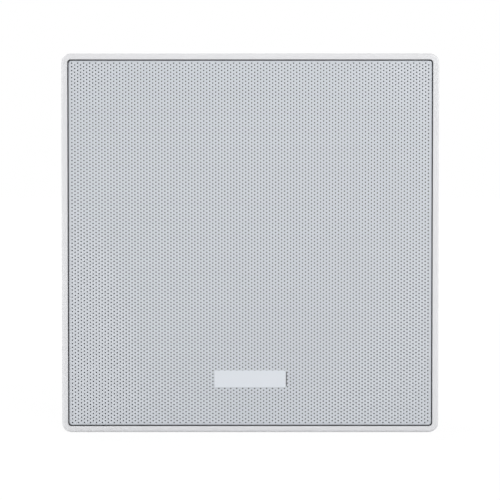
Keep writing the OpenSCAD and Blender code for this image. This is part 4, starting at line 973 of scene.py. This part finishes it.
studio = {
    "floorSize": 30.0,
    "floorColour": (0.92, 0.92, 0.92),
    "glowNear": 0.85,           # share of plain white in the floor that the camera sees beside the object
    "glowLevel": 1.04,
    "glowReach": (0.25, 1.1),   # the share grows from here, and the floor is all white from there
    "worldLevel": 0.35,
    "lamps": {
        "key": {"at": (0.5, -0.95, 0.85), "size": 0.8, "power": 5.5},
        "low": {"at": (0.1, -1.4, 0.1), "size": 0.5, "power": 2.6},
        "left": {"at": (-1.45, -0.35, 0.3), "size": 1.0, "power": 9.6},
        "right": {"at": (1.5, 0.0, 0.3), "size": 1.0, "power": 6.5},
        "top": {"at": (0.0, 0.05, 1.7), "size": 1.0, "power": 4.6},
        "rear": {"at": (-0.6, 1.5, 0.8), "size": 1.2, "power": 12.0},
    },
}


def whiteForCamera(tree, plain, white):
    # camera, glossy and transmission rays see white, and all other rays see the plain shader
    rays = tree.nodes.new("ShaderNodeLightPath")
    seen = mathNode(tree, "MAXIMUM", rays.outputs["Is Camera Ray"], rays.outputs["Is Glossy Ray"])
    seen = mathNode(tree, "MAXIMUM", seen, rays.outputs["Is Transmission Ray"])
    mix = tree.nodes.new("ShaderNodeMixShader")
    tree.links.new(plain, mix.inputs[1])
    tree.links.new(white, mix.inputs[2])
    return seen, mix


def layFloor(look):
    half = look["floorSize"] / 2
    corners = [(-half, -half, 0), (half, -half, 0), (half, half, 0), (-half, half, 0)]
    mesh = bpy.data.meshes.new("floor")
    mesh.from_pydata(corners, [], [(0, 1, 2, 3)])
    material = bpy.data.materials.new("floorWhite")
    material.use_nodes = True
    material.cycles.emission_sampling = "NONE"      # its glow lights nothing, so no light ray looks for it
    tree = material.node_tree
    shader = tree.nodes["Principled BSDF"]
    shader.inputs["Base Color"].default_value = (*look["floorColour"], 1)
    shader.inputs["Roughness"].default_value = 0.9
    shader.inputs["Specular IOR Level"].default_value = 0.0
    glow = addNode(tree, "ShaderNodeEmission", {"Color": (1, 1, 1, 1), "Strength": look["glowLevel"]})
    seen, mix = whiteForCamera(tree, shader.outputs[0], glow.outputs[0])
    place = addNode(tree, "ShaderNodeTexCoord")
    away = addNode(tree, "ShaderNodeVectorMath", operation="LENGTH")
    tree.links.new(place.outputs["Object"], away.inputs[0])
    near, far = look["glowReach"]
    reach = {"From Min": near, "From Max": far, "To Min": look["glowNear"], "To Max": 1.0}
    share = addNode(tree, "ShaderNodeMapRange", reach)
    tree.links.new(away.outputs["Value"], share.inputs["Value"])
    tree.links.new(mathNode(tree, "MULTIPLY", seen, share.outputs["Result"]), mix.inputs[0])
    tree.links.new(mix.outputs[0], tree.nodes["Material Output"].inputs["Surface"])
    mesh.materials.append(material)
    floor = bpy.data.objects.new("floor", mesh)
    bpy.context.scene.collection.objects.link(floor)


def lightWorld(look):
    world = bpy.data.worlds.new("studio")
    world.use_nodes = True
    bpy.context.scene.world = world
    tree = world.node_tree
    plain = tree.nodes["Background"]
    plain.inputs["Color"].default_value = (1, 1, 1, 1)
    plain.inputs["Strength"].default_value = look["worldLevel"]
    white = addNode(tree, "ShaderNodeBackground", {"Color": (1, 1, 1, 1), "Strength": 1.0})
    seen, mix = whiteForCamera(tree, plain.outputs[0], white.outputs[0])
    tree.links.new(seen, mix.inputs[0])
    tree.links.new(mix.outputs[0], tree.nodes["World Output"].inputs["Surface"])


def hangLamp(name, look, target):
    lamp = bpy.data.lights.new(name, "AREA")
    lamp.shape = "SQUARE"
    lamp.size = look["size"]
    lamp.energy = look["power"]
    stand = bpy.data.objects.new(name, lamp)
    bpy.context.scene.collection.objects.link(stand)
    stand.location = look["at"]
    stand.rotation_euler = (target - stand.location).to_track_quat("-Z", "Y").to_euler()


layFloor(studio)
lightWorld(studio)
for name, look in studio["lamps"].items():
    hangLamp(name, look, (cadBounds[0] + cadBounds[1]) / 2)
bpy.context.scene.view_settings.view_transform = "Standard"
print("studio lit")
